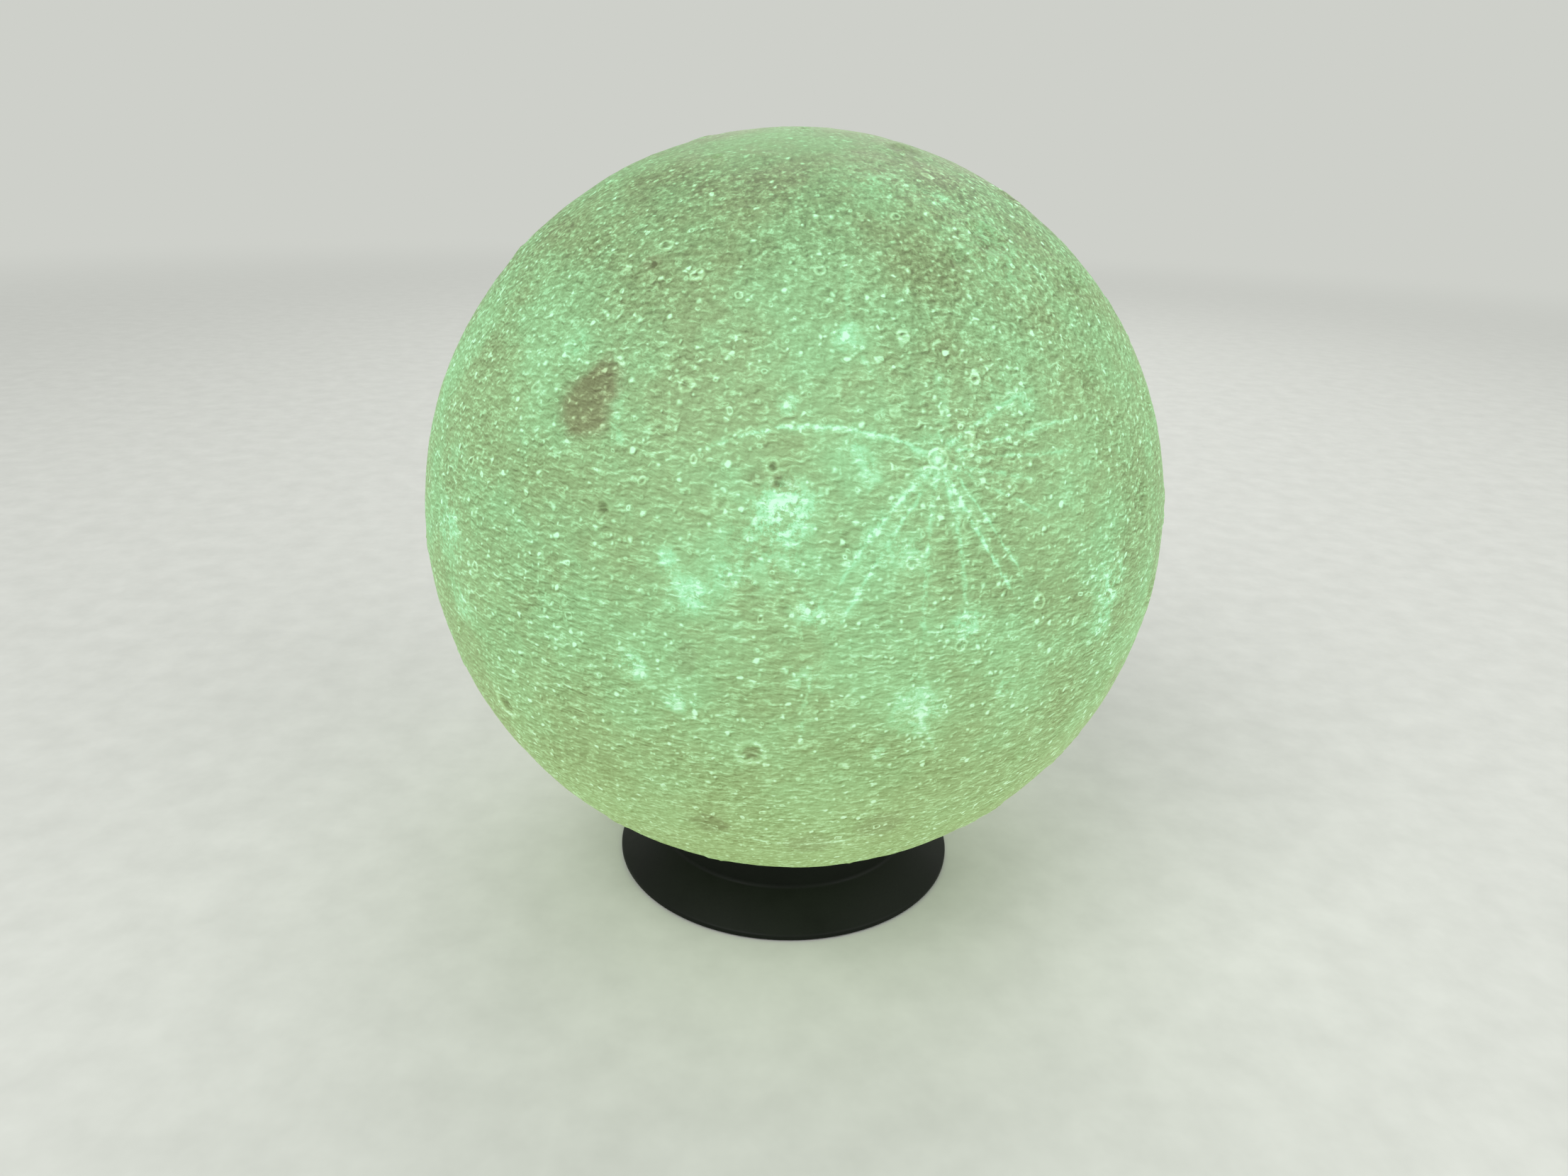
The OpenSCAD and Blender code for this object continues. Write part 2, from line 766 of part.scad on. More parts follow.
stand_shell();
foot_pads();
glide_ring();
globe_shell();
cap_housing();
touch_ring();
touch_contact();
charge_socket();
socket_tongue();
control_board();
control_chips();
ir_receiver();
charge_light_pipe();
control_board_screws();
pillar();
pillar_screws();
battery_cell();
battery_tabs();
battery_pad();
battery_leads();
led_carrier();
led_board();
led_board_screws();
led_emitters();
led_leads();
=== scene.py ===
"""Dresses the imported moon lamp: a glowing printed globe on a small black stand, with its inner works.

All lengths in the dataclasses are millimetres unless a name says otherwise; meshes are made in metres,
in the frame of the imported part: +Z up, origin on the table, the photographed front towards -Y.
"""

from __future__ import annotations

import logging
import math
from dataclasses import dataclass, field
from enum import Enum

import bmesh
import bpy
import numpy as np
from mathutils import Matrix, Vector, noise


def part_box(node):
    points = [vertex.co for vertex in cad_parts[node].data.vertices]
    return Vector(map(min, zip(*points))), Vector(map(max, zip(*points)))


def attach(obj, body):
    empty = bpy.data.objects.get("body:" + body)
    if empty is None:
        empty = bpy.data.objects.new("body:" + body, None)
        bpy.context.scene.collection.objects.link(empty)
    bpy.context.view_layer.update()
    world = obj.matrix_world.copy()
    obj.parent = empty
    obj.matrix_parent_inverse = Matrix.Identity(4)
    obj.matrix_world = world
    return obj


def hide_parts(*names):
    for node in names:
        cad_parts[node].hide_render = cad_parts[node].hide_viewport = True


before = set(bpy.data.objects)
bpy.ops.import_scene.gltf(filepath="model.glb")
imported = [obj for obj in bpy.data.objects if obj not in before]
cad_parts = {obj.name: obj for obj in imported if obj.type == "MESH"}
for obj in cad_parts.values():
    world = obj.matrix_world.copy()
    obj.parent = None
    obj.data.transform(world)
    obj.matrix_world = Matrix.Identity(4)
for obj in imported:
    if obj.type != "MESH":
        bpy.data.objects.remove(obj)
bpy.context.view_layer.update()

MM = 0.001
LOG = logging.getLogger("moon_lamp")

Colour = tuple[float, float, float]


def srgb(red: int, green: int, blue: int) -> Colour:
    """Turn a display colour into the linear values that shaders use.

    Args:
        red: Red, 0 to 255.
        green: Green, 0 to 255.
        blue: Blue, 0 to 255.

    Returns:
        The linear colour.
    """
    linear = []
    for value in (red / 255, green / 255, blue / 255):
        linear.append(value / 12.92 if value <= 0.04045 else ((value + 0.055) / 1.055) ** 2.4)
    return linear[0], linear[1], linear[2]


def toward(longitude: float, latitude: float) -> Vector:
    """Give the direction from the globe's middle to a place on it.

    Args:
        longitude: Degrees from the front (-Y) towards +X.
        latitude: Degrees above the globe's waist.

    Returns:
        A vector of length one.
    """
    lon, lat = math.radians(longitude), math.radians(latitude)
    return Vector((math.cos(lat) * math.sin(lon), -math.cos(lat) * math.cos(lon), math.sin(lat)))


# ----------------------------------------------------------------------------------------------------
# Shader wiring
# ----------------------------------------------------------------------------------------------------

Socket = bpy.types.NodeSocket
Feed = "Socket | float | tuple | Vector"


class Wiring:
    """Adds shader nodes to one node tree and joins them."""

    def __init__(self, tree: bpy.types.NodeTree) -> None:
        """Keep the tree that the nodes go into."""
        self.tree = tree

    def add(self, kind: str, **settings: object) -> bpy.types.Node:
        """Add a node.

        Args:
            kind: The node's class name.
            **settings: Properties of the node and their values.

        Returns:
            The new node.
        """
        node = self.tree.nodes.new(kind)
        for name, value in settings.items():
            setattr(node, name, value)
        return node

    def feed(self, socket: Socket, value: Feed) -> None:
        """Join a socket to another, or set its value.

        Args:
            socket: The input socket.
            value: An output socket, a number, a colour or a vector.
        """
        if isinstance(value, bpy.types.NodeSocket):
            self.tree.links.new(value, socket)
        elif socket.type == "RGBA" and len(value) == 3:
            socket.default_value = (*value, 1.0)
        else:
            socket.default_value = value

    def math(self, operation: str, first: Feed, second: Feed = 0.0, clamp: bool = False) -> Socket:
        """Add a Math node.

        Args:
            operation: The node's operation.
            first: The first value.
            second: The second value.
            clamp: Whether the result is kept from 0 to 1.

        Returns:
            The result.
        """
        node = self.add("ShaderNodeMath", operation=operation, use_clamp=clamp)
        self.feed(node.inputs[0], first)
        self.feed(node.inputs[1], second)
        return node.outputs[0]

    def vector(self, operation: str, first: Feed, second: Feed = (0, 0, 0), scale: Feed = 1.0) -> Socket:
        """Add a Vector Math node.

        Args:
            operation: The node's operation.
            first: The first vector.
            second: The second vector.
            scale: The factor of a SCALE operation.

        Returns:
            The result, a number for DOT_PRODUCT, LENGTH and DISTANCE.
        """
        node = self.add("ShaderNodeVectorMath", operation=operation)
        self.feed(node.inputs[0], first)
        self.feed(node.inputs[1], second)
        self.feed(node.inputs[3], scale)
        is_number = operation in ("DOT_PRODUCT", "LENGTH", "DISTANCE")
        return node.outputs[1 if is_number else 0]

    def noise(self, place: Feed, scale: float, detail: float = 2.0, roughness: float = 0.5) -> Socket:
        """Add a Noise texture.

        Args:
            place: Where it is read.
            scale: Its scale.
            detail: How many finer layers it has.
            roughness: How strong the finer layers are.

        Returns:
            The noise, about 0 to 1.
        """
        node = self.add("ShaderNodeTexNoise")
        self.feed(node.inputs["Vector"], place)
        node.inputs["Scale"].default_value = scale
        node.inputs["Detail"].default_value = detail
        node.inputs["Roughness"].default_value = roughness
        return node.outputs["Fac"]

    def cells(self, place: Feed, scale: float) -> tuple[Socket, Socket]:
        """Add a Voronoi texture.

        Args:
            place: Where it is read.
            scale: Its scale.

        Returns:
            The distance to the nearest cell's point, and that cell's random colour.
        """
        node = self.add("ShaderNodeTexVoronoi")
        self.feed(node.inputs["Vector"], place)
        node.inputs["Scale"].default_value = scale
        return node.outputs["Distance"], node.outputs["Color"]

    def swirl(self, place: Feed, scale: float, reach: float) -> Socket:
        """Move a place about by a soft noise.

        Args:
            place: The place.
            scale: The noise's scale.
            reach: How far the place moves.

        Returns:
            The moved place.
        """
        node = self.add("ShaderNodeTexNoise")
        self.feed(node.inputs["Vector"], place)
        node.inputs["Scale"].default_value = scale
        node.inputs["Detail"].default_value = 1.0
        step = self.vector("SUBTRACT", node.outputs["Color"], (0.5, 0.5, 0.5))
        return self.vector("ADD", place, self.vector("SCALE", step, scale=2.0 * reach))

    def dots(self, place: Feed, scale: float, near: float, far: float, share: float = 0.7) -> Socket:
        """Scatter round dots of many strengths, one in some of the cells of a Voronoi texture.

        Args:
            place: Where the dots are read.
            scale: The cells' scale.
            near: Distance from a cell's point at which a dot starts to fade.
            far: Distance at which it has gone.
            share: The share of cells that have a dot.

        Returns:
            The dots, 0 to 1.
        """
        hollow_near, hollow_far = 0.2 * far, 0.55 * far
        away, colour = self.cells(place, scale)
        chance, kind, _ = self.split(colour)
        hollow = self.math("MULTIPLY", self.band(away, hollow_near, hollow_far, 1.0, 0.0),
                           self.band(kind, 0.5, 0.9, 0.0, 0.85))
        dot = self.math("SUBTRACT", self.band(away, near, far, 1.0, 0.0), hollow)
        return self.math("MULTIPLY", dot, self.band(chance, 1.0 - share, 1.0))

    def band(self, value: Feed, low: Feed, high: Feed, start: float = 0.0, end: float = 1.0) -> Socket:
        """Add a smooth Map Range node, which keeps to its range without a clamp.

        Args:
            value: The value to map.
            low: Where the result is start.
            high: Where the result is end.
            start: The result at low and below.
            end: The result at high and above.

        Returns:
            The result.
        """
        node = self.add("ShaderNodeMapRange", interpolation_type="SMOOTHSTEP", clamp=False)
        for name, fed in (("Value", value), ("From Min", low), ("From Max", high)):
            self.feed(node.inputs[name], fed)
        node.inputs["To Min"].default_value = start
        node.inputs["To Max"].default_value = end
        return node.outputs["Result"]

    def total(self, *terms: tuple[Feed, float]) -> Socket:
        """Add up values, each times a number.

        Args:
            *terms: Pairs of a value and a number.

        Returns:
            The sum.
        """
        result: Feed = 0.0
        for value, share in terms:
            result = self.more(result, value, share)
        return result

    def more(self, start: Feed, value: Feed, share: float) -> Socket:
        """Add one value, times a number, to what there is so far.

        Args:
            start: What there is so far.
            value: The value.
            share: The number.

        Returns:
            The sum.
        """
        node = self.add("ShaderNodeMath", operation="MULTIPLY_ADD")
        for socket, fed in zip(node.inputs, (value, share, start)):
            self.feed(socket, fed)
        return node.outputs[0]

    def blend(self, factor: Feed, first: Feed, second: Feed, mode: str = "MIX") -> Socket:
        """Add a colour Mix node.

        Args:
            factor: How much of the second colour is used.
            first: The first colour.
            second: The second colour.
            mode: The way of mixing.

        Returns:
            The mixed colour.
        """
        node = self.add("ShaderNodeMix", data_type="RGBA", blend_type=mode, clamp_factor=True)
        self.feed(node.inputs[0], factor)
        self.feed(node.inputs[6], first)
        self.feed(node.inputs[7], second)
        return node.outputs[2]

    def ramp(self, factor: Feed, stops: list[tuple[float, Colour]]) -> Socket:
        """Add a Color Ramp node.

        Args:
            factor: Where the ramp is read.
            stops: Places from 0 to 1, each with its colour.

        Returns:
            The colour.
        """
        node = self.add("ShaderNodeValToRGB")
        elements = node.color_ramp.elements
        while len(elements) < len(stops):
            elements.new(0.5)
        for element, (place, colour) in zip(elements, stops):
            element.position = place
            element.color = (*colour, 1.0)
        self.feed(node.inputs[0], factor)
        return node.outputs["Color"]

    def split(self, value: Feed) -> tuple[Socket, Socket, Socket]:
        """Take a vector or colour apart.

        Args:
            value: The vector or colour.

        Returns:
            Its three parts.
        """
        node = self.add("ShaderNodeSeparateXYZ")
        self.feed(node.inputs[0], value)
        return node.outputs[0], node.outputs[1], node.outputs[2]

    def effect(self, group: bpy.types.NodeTree, **values: Feed) -> bpy.types.Node:
        """Place a node group.

        Args:
            group: The group.
            **values: What its inputs are fed, by name.

        Returns:
            The group node.
        """
        node = self.add("ShaderNodeGroup")
        node.node_tree = group
        for name, value in values.items():
            self.feed(node.inputs[name], value)
        return node


def new_group(name: str, inputs: dict[str, str], outputs: dict[str, str]) -> tuple[Wiring, object, object]:
    """Make an empty shader node group.

    Args:
        name: The group's name.
        inputs: Its inputs' names, each with "Vector", "Float" or "Color".
        outputs: Its outputs' names, likewise.

    Returns:
        The group's wiring, its input node's outputs and its output node's inputs.
    """
    tree = bpy.data.node_groups.new(name, "ShaderNodeTree")
    for in_out, sockets in (("INPUT", inputs), ("OUTPUT", outputs)):
        for label, kind in sockets.items():
            tree.interface.new_socket(label, in_out=in_out, socket_type=f"NodeSocket{kind}")
    wiring = Wiring(tree)
    return wiring, wiring.add("NodeGroupInput").outputs, wiring.add("NodeGroupOutput").inputs


class Effects:
    """The shader node groups that the finishes share, each made once."""

    def __init__(self) -> None:
        """Make every group."""
        self.moulded = self._moulded_grain()
        self.relief = self._print_relief()
        self.pit = self._crater_pit()
        self.patch = self._patch()
        self.ray = self._ray()

    @staticmethod
    def _moulded_grain() -> bpy.types.NodeTree:
        """Make the fine grain of a moulded or stamped surface.

        Returns:
            The group: Position and Size (millimetres) in, Speck, Cloud and Height out.
        """
        wiring, given, result = new_group(
            "moulded_grain", {"Position": "Vector", "Size": "Float"},
            {"Speck": "Float", "Cloud": "Float", "Height": "Float"})
        place = wiring.vector("SCALE", given["Position"], scale=wiring.math("DIVIDE", 1.0, given["Size"]))
        speck = wiring.noise(place, 1.0, detail=3.0, roughness=0.65)
        dents = wiring.cells(place, 1.4)[0]
        cloud = wiring.noise(given["Position"], 0.09, detail=3.0, roughness=0.6)
        wiring.feed(result["Speck"], speck)
        wiring.feed(result["Cloud"], cloud)
        wiring.feed(result["Height"], wiring.math("ADD", speck, wiring.math("MULTIPLY", dents, 0.5)))
        return wiring.tree

    @staticmethod
    def _print_relief() -> bpy.types.NodeTree:
        """Make the small relief of the printed globe: level wrinkles, dots and little ring pits.

        Returns:
            The group: Position (millimetres from the globe's middle) in; Height, Shine (what stands out
            bright) and Rings out.
        """
        wiring, given, result = new_group(
            "print_relief", {"Position": "Vector"}, {"Height": "Float", "Shine": "Float", "Rings": "Float"})
        place = wiring.swirl(given["Position"], scale=0.7, reach=0.5)
        wrinkle = Effects._wrinkles(wiring, place)
        dash = wiring.band(wrinkle, 0.52, 0.72)
        dots = wiring.dots(place, scale=0.4, near=0.04, far=0.27, share=0.8)
        fine_place = wiring.vector("ADD", place, (17.0, 5.0, 9.0))
        fine_dots = wiring.dots(fine_place, scale=0.8, near=0.0, far=0.4, share=0.9)
        ring_in, ring_middle, ring_out = 0.07, 0.125, 0.18
        away, colour = wiring.cells(wiring.vector("ADD", place, (3.0, 31.0, 7.0)), scale=0.16)
        chance, girth, _ = wiring.split(colour)
        away = wiring.math("MULTIPLY", away, wiring.band(girth, 0.0, 1.0, 1.35, 0.7))
        present = wiring.band(chance, 0.45, 0.95)
        ring = wiring.math("MULTIPLY", wiring.band(away, ring_in, ring_middle),
                           wiring.band(away, ring_middle, ring_out, 1.0, 0.0))
        ring = wiring.math("MULTIPLY", ring, present)
        hollow = wiring.math("MULTIPLY", wiring.band(away, 0.03, 0.09, 1.0, 0.0), present)
        shine = wiring.total((dash, 0.4), (dots, 1.1), (fine_dots, 0.8))
        height = wiring.total((wrinkle, 1.25), (dots, 0.5), (fine_dots, 0.3), (ring, 0.3), (hollow, -0.2))
        wiring.feed(result["Height"], height)
        wiring.feed(result["Shine"], shine)
        wiring.feed(result["Rings"], wiring.total((ring, 1.0), (hollow, -0.7)))
        return wiring.tree

    @staticmethod
    def _wrinkles(wiring: Wiring, place: Socket) -> Socket:
        """Add the level wrinkles, which grow shorter towards the globe's top and bottom.

        Args:
            wiring: The group's wiring.
            place: Millimetres from the globe's middle.

        Returns:
            The wrinkles, about 0 to 1.
        """
        level_scale, upright_scale, shortening = 0.42, 1.3, 0.00009
        high = wiring.split(place)[2]
        shorter = wiring.math("MULTIPLY", wiring.math("MULTIPLY", high, high), shortening)
        squeeze = wiring.add("ShaderNodeCombineXYZ")
        for axis in (0, 1):
            wiring.feed(squeeze.inputs[axis], wiring.math("ADD", shorter, level_scale))
        squeeze.inputs[2].default_value = upright_scale
        return wiring.noise(wiring.vector("MULTIPLY", place, squeeze.outputs[0]), 1.0, detail=3.0,
                            roughness=0.64)

    @staticmethod
    def _spot_share(wiring: Wiring, given: object) -> Socket:
        """Divide the distance to a spot's middle by its radius.

        Args:
            wiring: The group's wiring.
            given: The group's inputs Place, Middle and Radius.

        Returns:
            The share: 0 at the middle, 1 at the edge.
        """
        away = wiring.vector("DISTANCE", given["Place"], given["Middle"])
        return wiring.math("DIVIDE", away, given["Radius"])

    @staticmethod
    def _crater_pit() -> bpy.types.NodeTree:
        """Make one round crater's rim and floor.

        Returns:
            The group: Place (unit direction), Middle (unit direction) and Radius (share of the globe's
            radius) in; Rim and Floor out.
        """
        wiring, given, result = new_group(
            "crater_pit", {"Place": "Vector", "Middle": "Vector", "Radius": "Float"},
            {"Rim": "Float", "Floor": "Float"})
        share = Effects._spot_share(wiring, given)
        off_rim = wiring.math("ABSOLUTE", wiring.math("SUBTRACT", share, 1.0))
        wiring.feed(result["Rim"], wiring.band(off_rim, 0.0, 0.32, 1.0, 0.0))
        wiring.feed(result["Floor"], wiring.band(share, 0.3, 0.9, 1.0, 0.0))
        return wiring.tree

    @staticmethod
    def _patch() -> bpy.types.NodeTree:
        """Make one round patch with a soft edge.

        Returns:
            The group: Place and Middle (unit directions), Radius (share of the globe's radius) and Core
            (the share of the radius that is full) in; Mask out.
        """
        wiring, given, result = new_group(
            "patch", {"Place": "Vector", "Middle": "Vector", "Radius": "Float", "Core": "Float"},
            {"Mask": "Float"})
        share = Effects._spot_share(wiring, given)
        wiring.feed(result["Mask"], wiring.band(share, given["Core"], 1.0, 1.0, 0.0))
        return wiring.tree

    @staticmethod
    def _ray() -> bpy.types.NodeTree:
        """Make one bright ray that runs along a circle on the globe.

        Returns:
            The group: Place, Start and Heading (directions), Across (the circle's normal), Offset (its
            distance from the globe's middle), Reach and Width (shares of the globe's radius) in; Mask out.
        """
        wiring, given, result = new_group(
            "ray", {"Place": "Vector", "Start": "Vector", "Heading": "Vector", "Across": "Vector",
                    "Offset": "Float", "Reach": "Float", "Width": "Float"}, {"Mask": "Float"})
        nearest = 0.3
        side = wiring.vector("DOT_PRODUCT", given["Place"], given["Across"])
        side = wiring.math("ABSOLUTE", wiring.math("SUBTRACT", side, given["Offset"]))
        off_line = wiring.math("DIVIDE", side, given["Width"])
        step = wiring.vector("SUBTRACT", given["Place"], given["Start"])
        along = wiring.math("DIVIDE", wiring.vector("DOT_PRODUCT", step, given["Heading"]), given["Reach"])
        line = wiring.total((wiring.band(off_line, 0.1, 1.0, 1.0, 0.0), 0.75),
                            (wiring.band(off_line, 0.3, 3.2, 1.0, 0.0), 0.25))
        ends = wiring.math("MULTIPLY", wiring.band(along, 0.0, 0.06),
                           wiring.band(along, 0.7, 1.0, 1.0, 0.0))
        same_side = wiring.vector("DOT_PRODUCT", given["Place"], given["Start"])
        same_side = wiring.math("GREATER_THAN", same_side, nearest)
        wiring.feed(result["Mask"], wiring.math("MULTIPLY", line, wiring.math("MULTIPLY", ends, same_side)))
        return wiring.tree


# ----------------------------------------------------------------------------------------------------
# Finishes
# ----------------------------------------------------------------------------------------------------


class Finish:
    """A surface finish that can make its material."""

    name: str

    def start(self) -> tuple[bpy.types.Material, Wiring, bpy.types.Node]:
        """Make an empty material.

        Returns:
            The material, its wiring and its Principled shader.
        """
        material = bpy.data.materials.new(self.name)
        material.use_nodes = True
        wiring = Wiring(material.node_tree)
        wiring.tree.nodes.clear()
        shader = wiring.add("ShaderNodeBsdfPrincipled")
        output = wiring.add("ShaderNodeOutputMaterial")
        wiring.feed(output.inputs["Surface"], shader.outputs["BSDF"])
        return material, wiring, shader

    @staticmethod
    def place_mm(wiring: Wiring) -> Socket:
        """Read the place on the object in millimetres.

        Args:
            wiring: The material's wiring.

        Returns:
            The place.
        """
        source = wiring.add("ShaderNodeTexCoord")
        return wiring.vector("SCALE", source.outputs["Object"], scale=1.0 / MM)

    @staticmethod
    def bump(wiring: Wiring, shader: bpy.types.Node, height: Socket, depth: float, strength: float) -> None:
        """Give a shader's surface fine relief.

        Args:
            wiring: The material's wiring.
            shader: The shader.
            height: The relief, about 0 to 1.
            depth: Its depth in millimetres.
            strength: How strongly it shows.
        """
        node = wiring.add("ShaderNodeBump")
        node.inputs["Strength"].default_value = strength
        node.inputs["Distance"].default_value = depth * MM
        wiring.feed(node.inputs["Height"], height)
        wiring.feed(shader.inputs["Normal"], node.outputs["Normal"])

    def make(self, effects: Effects) -> bpy.types.Material:
        """Make the material.

        Args:
            effects: The shared node groups.

        Returns:
            The material.
        """
        raise NotImplementedError


@dataclass(frozen=True)
class Moulded(Finish):
    """Moulded or dipped plastic, rubber or foam with a fine grain."""

    name: str
    dark: Colour
    light: Colour
    grain: float = 0.35
    depth: float = 0.03
    strength: float = 0.5
    shine: tuple[float, float] = (0.42, 0.6)
    specular: float = 0.4

    def make(self, effects: Effects) -> bpy.types.Material:
        """Make the material.

        Args:
            effects: The shared node groups.

        Returns:
            The material.
        """
        material, wiring, shader = self.start()
        grain = wiring.effect(effects.moulded, Position=self.place_mm(wiring), Size=self.grain)
        tone = wiring.math("ADD", wiring.math("MULTIPLY", grain.outputs["Speck"], 0.45),
                           wiring.math("MULTIPLY", grain.outputs["Cloud"], 0.55))
        wiring.feed(shader.inputs["Base Color"], wiring.ramp(tone, [(0.36, self.dark), (0.64, self.light)]))
        wiring.feed(shader.inputs["Roughness"],
                    wiring.band(grain.outputs["Cloud"], 0.3, 0.7, self.shine[0], self.shine[1]))
        shader.inputs["Specular IOR Level"].default_value = self.specular
        self.bump(wiring, shader, grain.outputs["Height"], self.depth, self.strength)
        return material


@dataclass(frozen=True)
class Metal(Finish):
    """Turned, rolled or plated metal with fine lines."""

    name: str
    dark: Colour
    light: Colour
    lines: tuple[float, float, float] = (1.0, 1.0, 12.0)
    turned: bool = False
    shine: tuple[float, float] = (0.24, 0.42)

    def make(self, effects: Effects) -> bpy.types.Material:
        """Make the material.

        Args:
            effects: The shared node groups.

        Returns:
            The material.
        """
        material, wiring, shader = self.start()
        place = self.place_mm(wiring)
        if self.turned:
            across, deep, _ = wiring.split(place)
            out = wiring.math("SQRT", wiring.math("ADD", wiring.math("MULTIPLY", across, across),
                                                  wiring.math("MULTIPLY", deep, deep)))
            node = wiring.add("ShaderNodeCombineXYZ")
            wiring.feed(node.inputs[0], wiring.math("MULTIPLY", out, self.lines[2]))
            lines = wiring.noise(node.outputs[0], 1.0, detail=3.0)
        else:
            lines = wiring.noise(wiring.vector("MULTIPLY", place, self.lines), 1.0, detail=3.0)
        cloud = wiring.effect(effects.moulded, Position=place, Size=0.8).outputs["Cloud"]
        tone = wiring.math("ADD", wiring.math("MULTIPLY", lines, 0.6), wiring.math("MULTIPLY", cloud, 0.4))
        wiring.feed(shader.inputs["Base Color"], wiring.ramp(tone, [(0.35, self.dark), (0.65, self.light)]))
        wiring.feed(shader.inputs["Roughness"], wiring.band(tone, 0.3, 0.7, self.shine[1], self.shine[0]))
        shader.inputs["Metallic"].default_value = 1.0
        self.bump(wiring, shader, lines, 0.01, 0.3)
        return material


@dataclass(frozen=True)
class ClearRod(Finish):
    """Clear moulded plastic."""

    name: str = "clear_rod"
    tint: Colour = (0.86, 0.93, 0.89)

    def make(self, effects: Effects) -> bpy.types.Material:
        """Make the material.

        Args:
            effects: The shared node groups.

        Returns:
            The material.
        """
        material, wiring, shader = self.start()
        cloud = wiring.effect(effects.moulded, Position=self.place_mm(wiring), Size=0.6).outputs["Cloud"]
        wiring.feed(shader.inputs["Base Color"],
                    wiring.ramp(cloud, [(0.3, self.tint), (0.7, (0.94, 0.97, 0.95))]))
        wiring.feed(shader.inputs["Roughness"], wiring.band(cloud, 0.3, 0.7, 0.06, 0.16))
        shader.inputs["Transmission Weight"].default_value = 0.85
        shader.inputs["IOR"].default_value = 1.49
        return material


@dataclass(frozen=True)
class Ray:
    """A bright ray on the globe, through three places given as longitude and latitude."""

    start: tuple[float, float]
    through: tuple[float, float]
    end: tuple[float, float]
    width: float = 0.9
    strength: float = 1.0


@dataclass(frozen=True)
class Spot:
    """A round feature on the globe, at longitude and latitude."""

    longitude: float
    latitude: float
    radius: float
    strength: float = 1.0

    @property
    def middle(self) -> Vector:
        """Give the direction of the spot's middle."""
        return toward(self.longitude, self.latitude)


@dataclass(frozen=True)
class Pit(Spot):
    """A small crater: strength is how bright its floor is, and rim how bright its rim."""

    rim: float = 0.6


RAYS = (
    Ray((16.6, 23.2), (5.0, 26.4), (-10.5, 23.9), 0.26, 1.0),
    Ray((16.7, 21.3), (9.8, 15.1), (6.6, 10.6), 0.5, 0.8),
    Ray((16.0, 19.6), (9.4, 10.6), (5.2, 3.4), 0.5, 0.75),
    Ray((13.4, 18.8), (8.4, 13.2), (4.2, 6.6), 0.34, 0.5),
    Ray((18.2, 21.3), (20.2, 12.0), (21.0, 4.0), 0.55, 0.7),
    Ray((17.5, 21.2), (15.8, 11.0), (15.6, 1.0), 0.6, 0.6),
    Ray((15.4, -1.0), (15.4, -5.0), (15.8, -8.6), 0.5, 0.4),
    Ray((18.2, 21.4), (22.4, 14.0), (27.8, 5.6), 0.42, 1.1),
    Ray((18.9, 21.5), (24.2, 14.8), (29.2, 7.4), 0.34, 0.7),
    Ray((19.3, 21.8), (26.0, 18.2), (33.0, 14.6), 0.4, 0.6),
    Ray((19.4, 21.6), (24.6, 20.7), (31.5, 18.9), 0.5, 0.7),
    Ray((19.4, 22.9), (29.0, 24.5), (40.0, 25.4), 0.42, 0.75),
    Ray((18.9, 23.7), (26.5, 27.4), (33.0, 29.8), 0.6, 0.8),
    Ray((19.4, 22.5), (29.7, 22.1), (40.0, 21.4), 0.38, 0.6),
    Ray((18.1, 24.1), (19.4, 28.4), (19.6, 33.5), 0.6, 0.45),
    Ray((8.4, 49.0), (7.2, 42.5), (6.6, 38.2), 0.7, 0.3),
    Ray((6.8, 37.0), (8.8, 34.4), (11.4, 31.2), 0.6, 0.35),
    Ray((16.2, -9.4), (17.8, -12.6), (20.0, -16.5), 0.5, 0.6),
    Ray((2.0, -2.4), (1.8, -7.0), (1.2, -12.0), 0.5, 0.5),
    Ray((-12.0, 6.0), (-14.4, 8.6), (-16.0, 11.6), 0.5, 0.6),
    Ray((164.0, -22.0), (157.0, -12.0), (146.0, -3.0), 0.45, 0.9),
    Ray((168.0, -24.0), (182.0, -22.0), (198.0, -14.0), 0.4, 0.8),
    Ray((165.0, -28.0), (162.0, -38.0), (154.0, -47.0), 0.5, 0.7),
    Ray((-106.0, 34.0), (-98.0, 26.0), (-94.0, 12.0), 0.45, 0.8),
    Ray((-111.0, 36.0), (-122.0, 30.0), (-136.0, 30.0), 0.4, 0.7),
    Ray((101.0, 12.0), (112.0, 5.0), (119.0, -9.0), 0.45, 0.7),
)

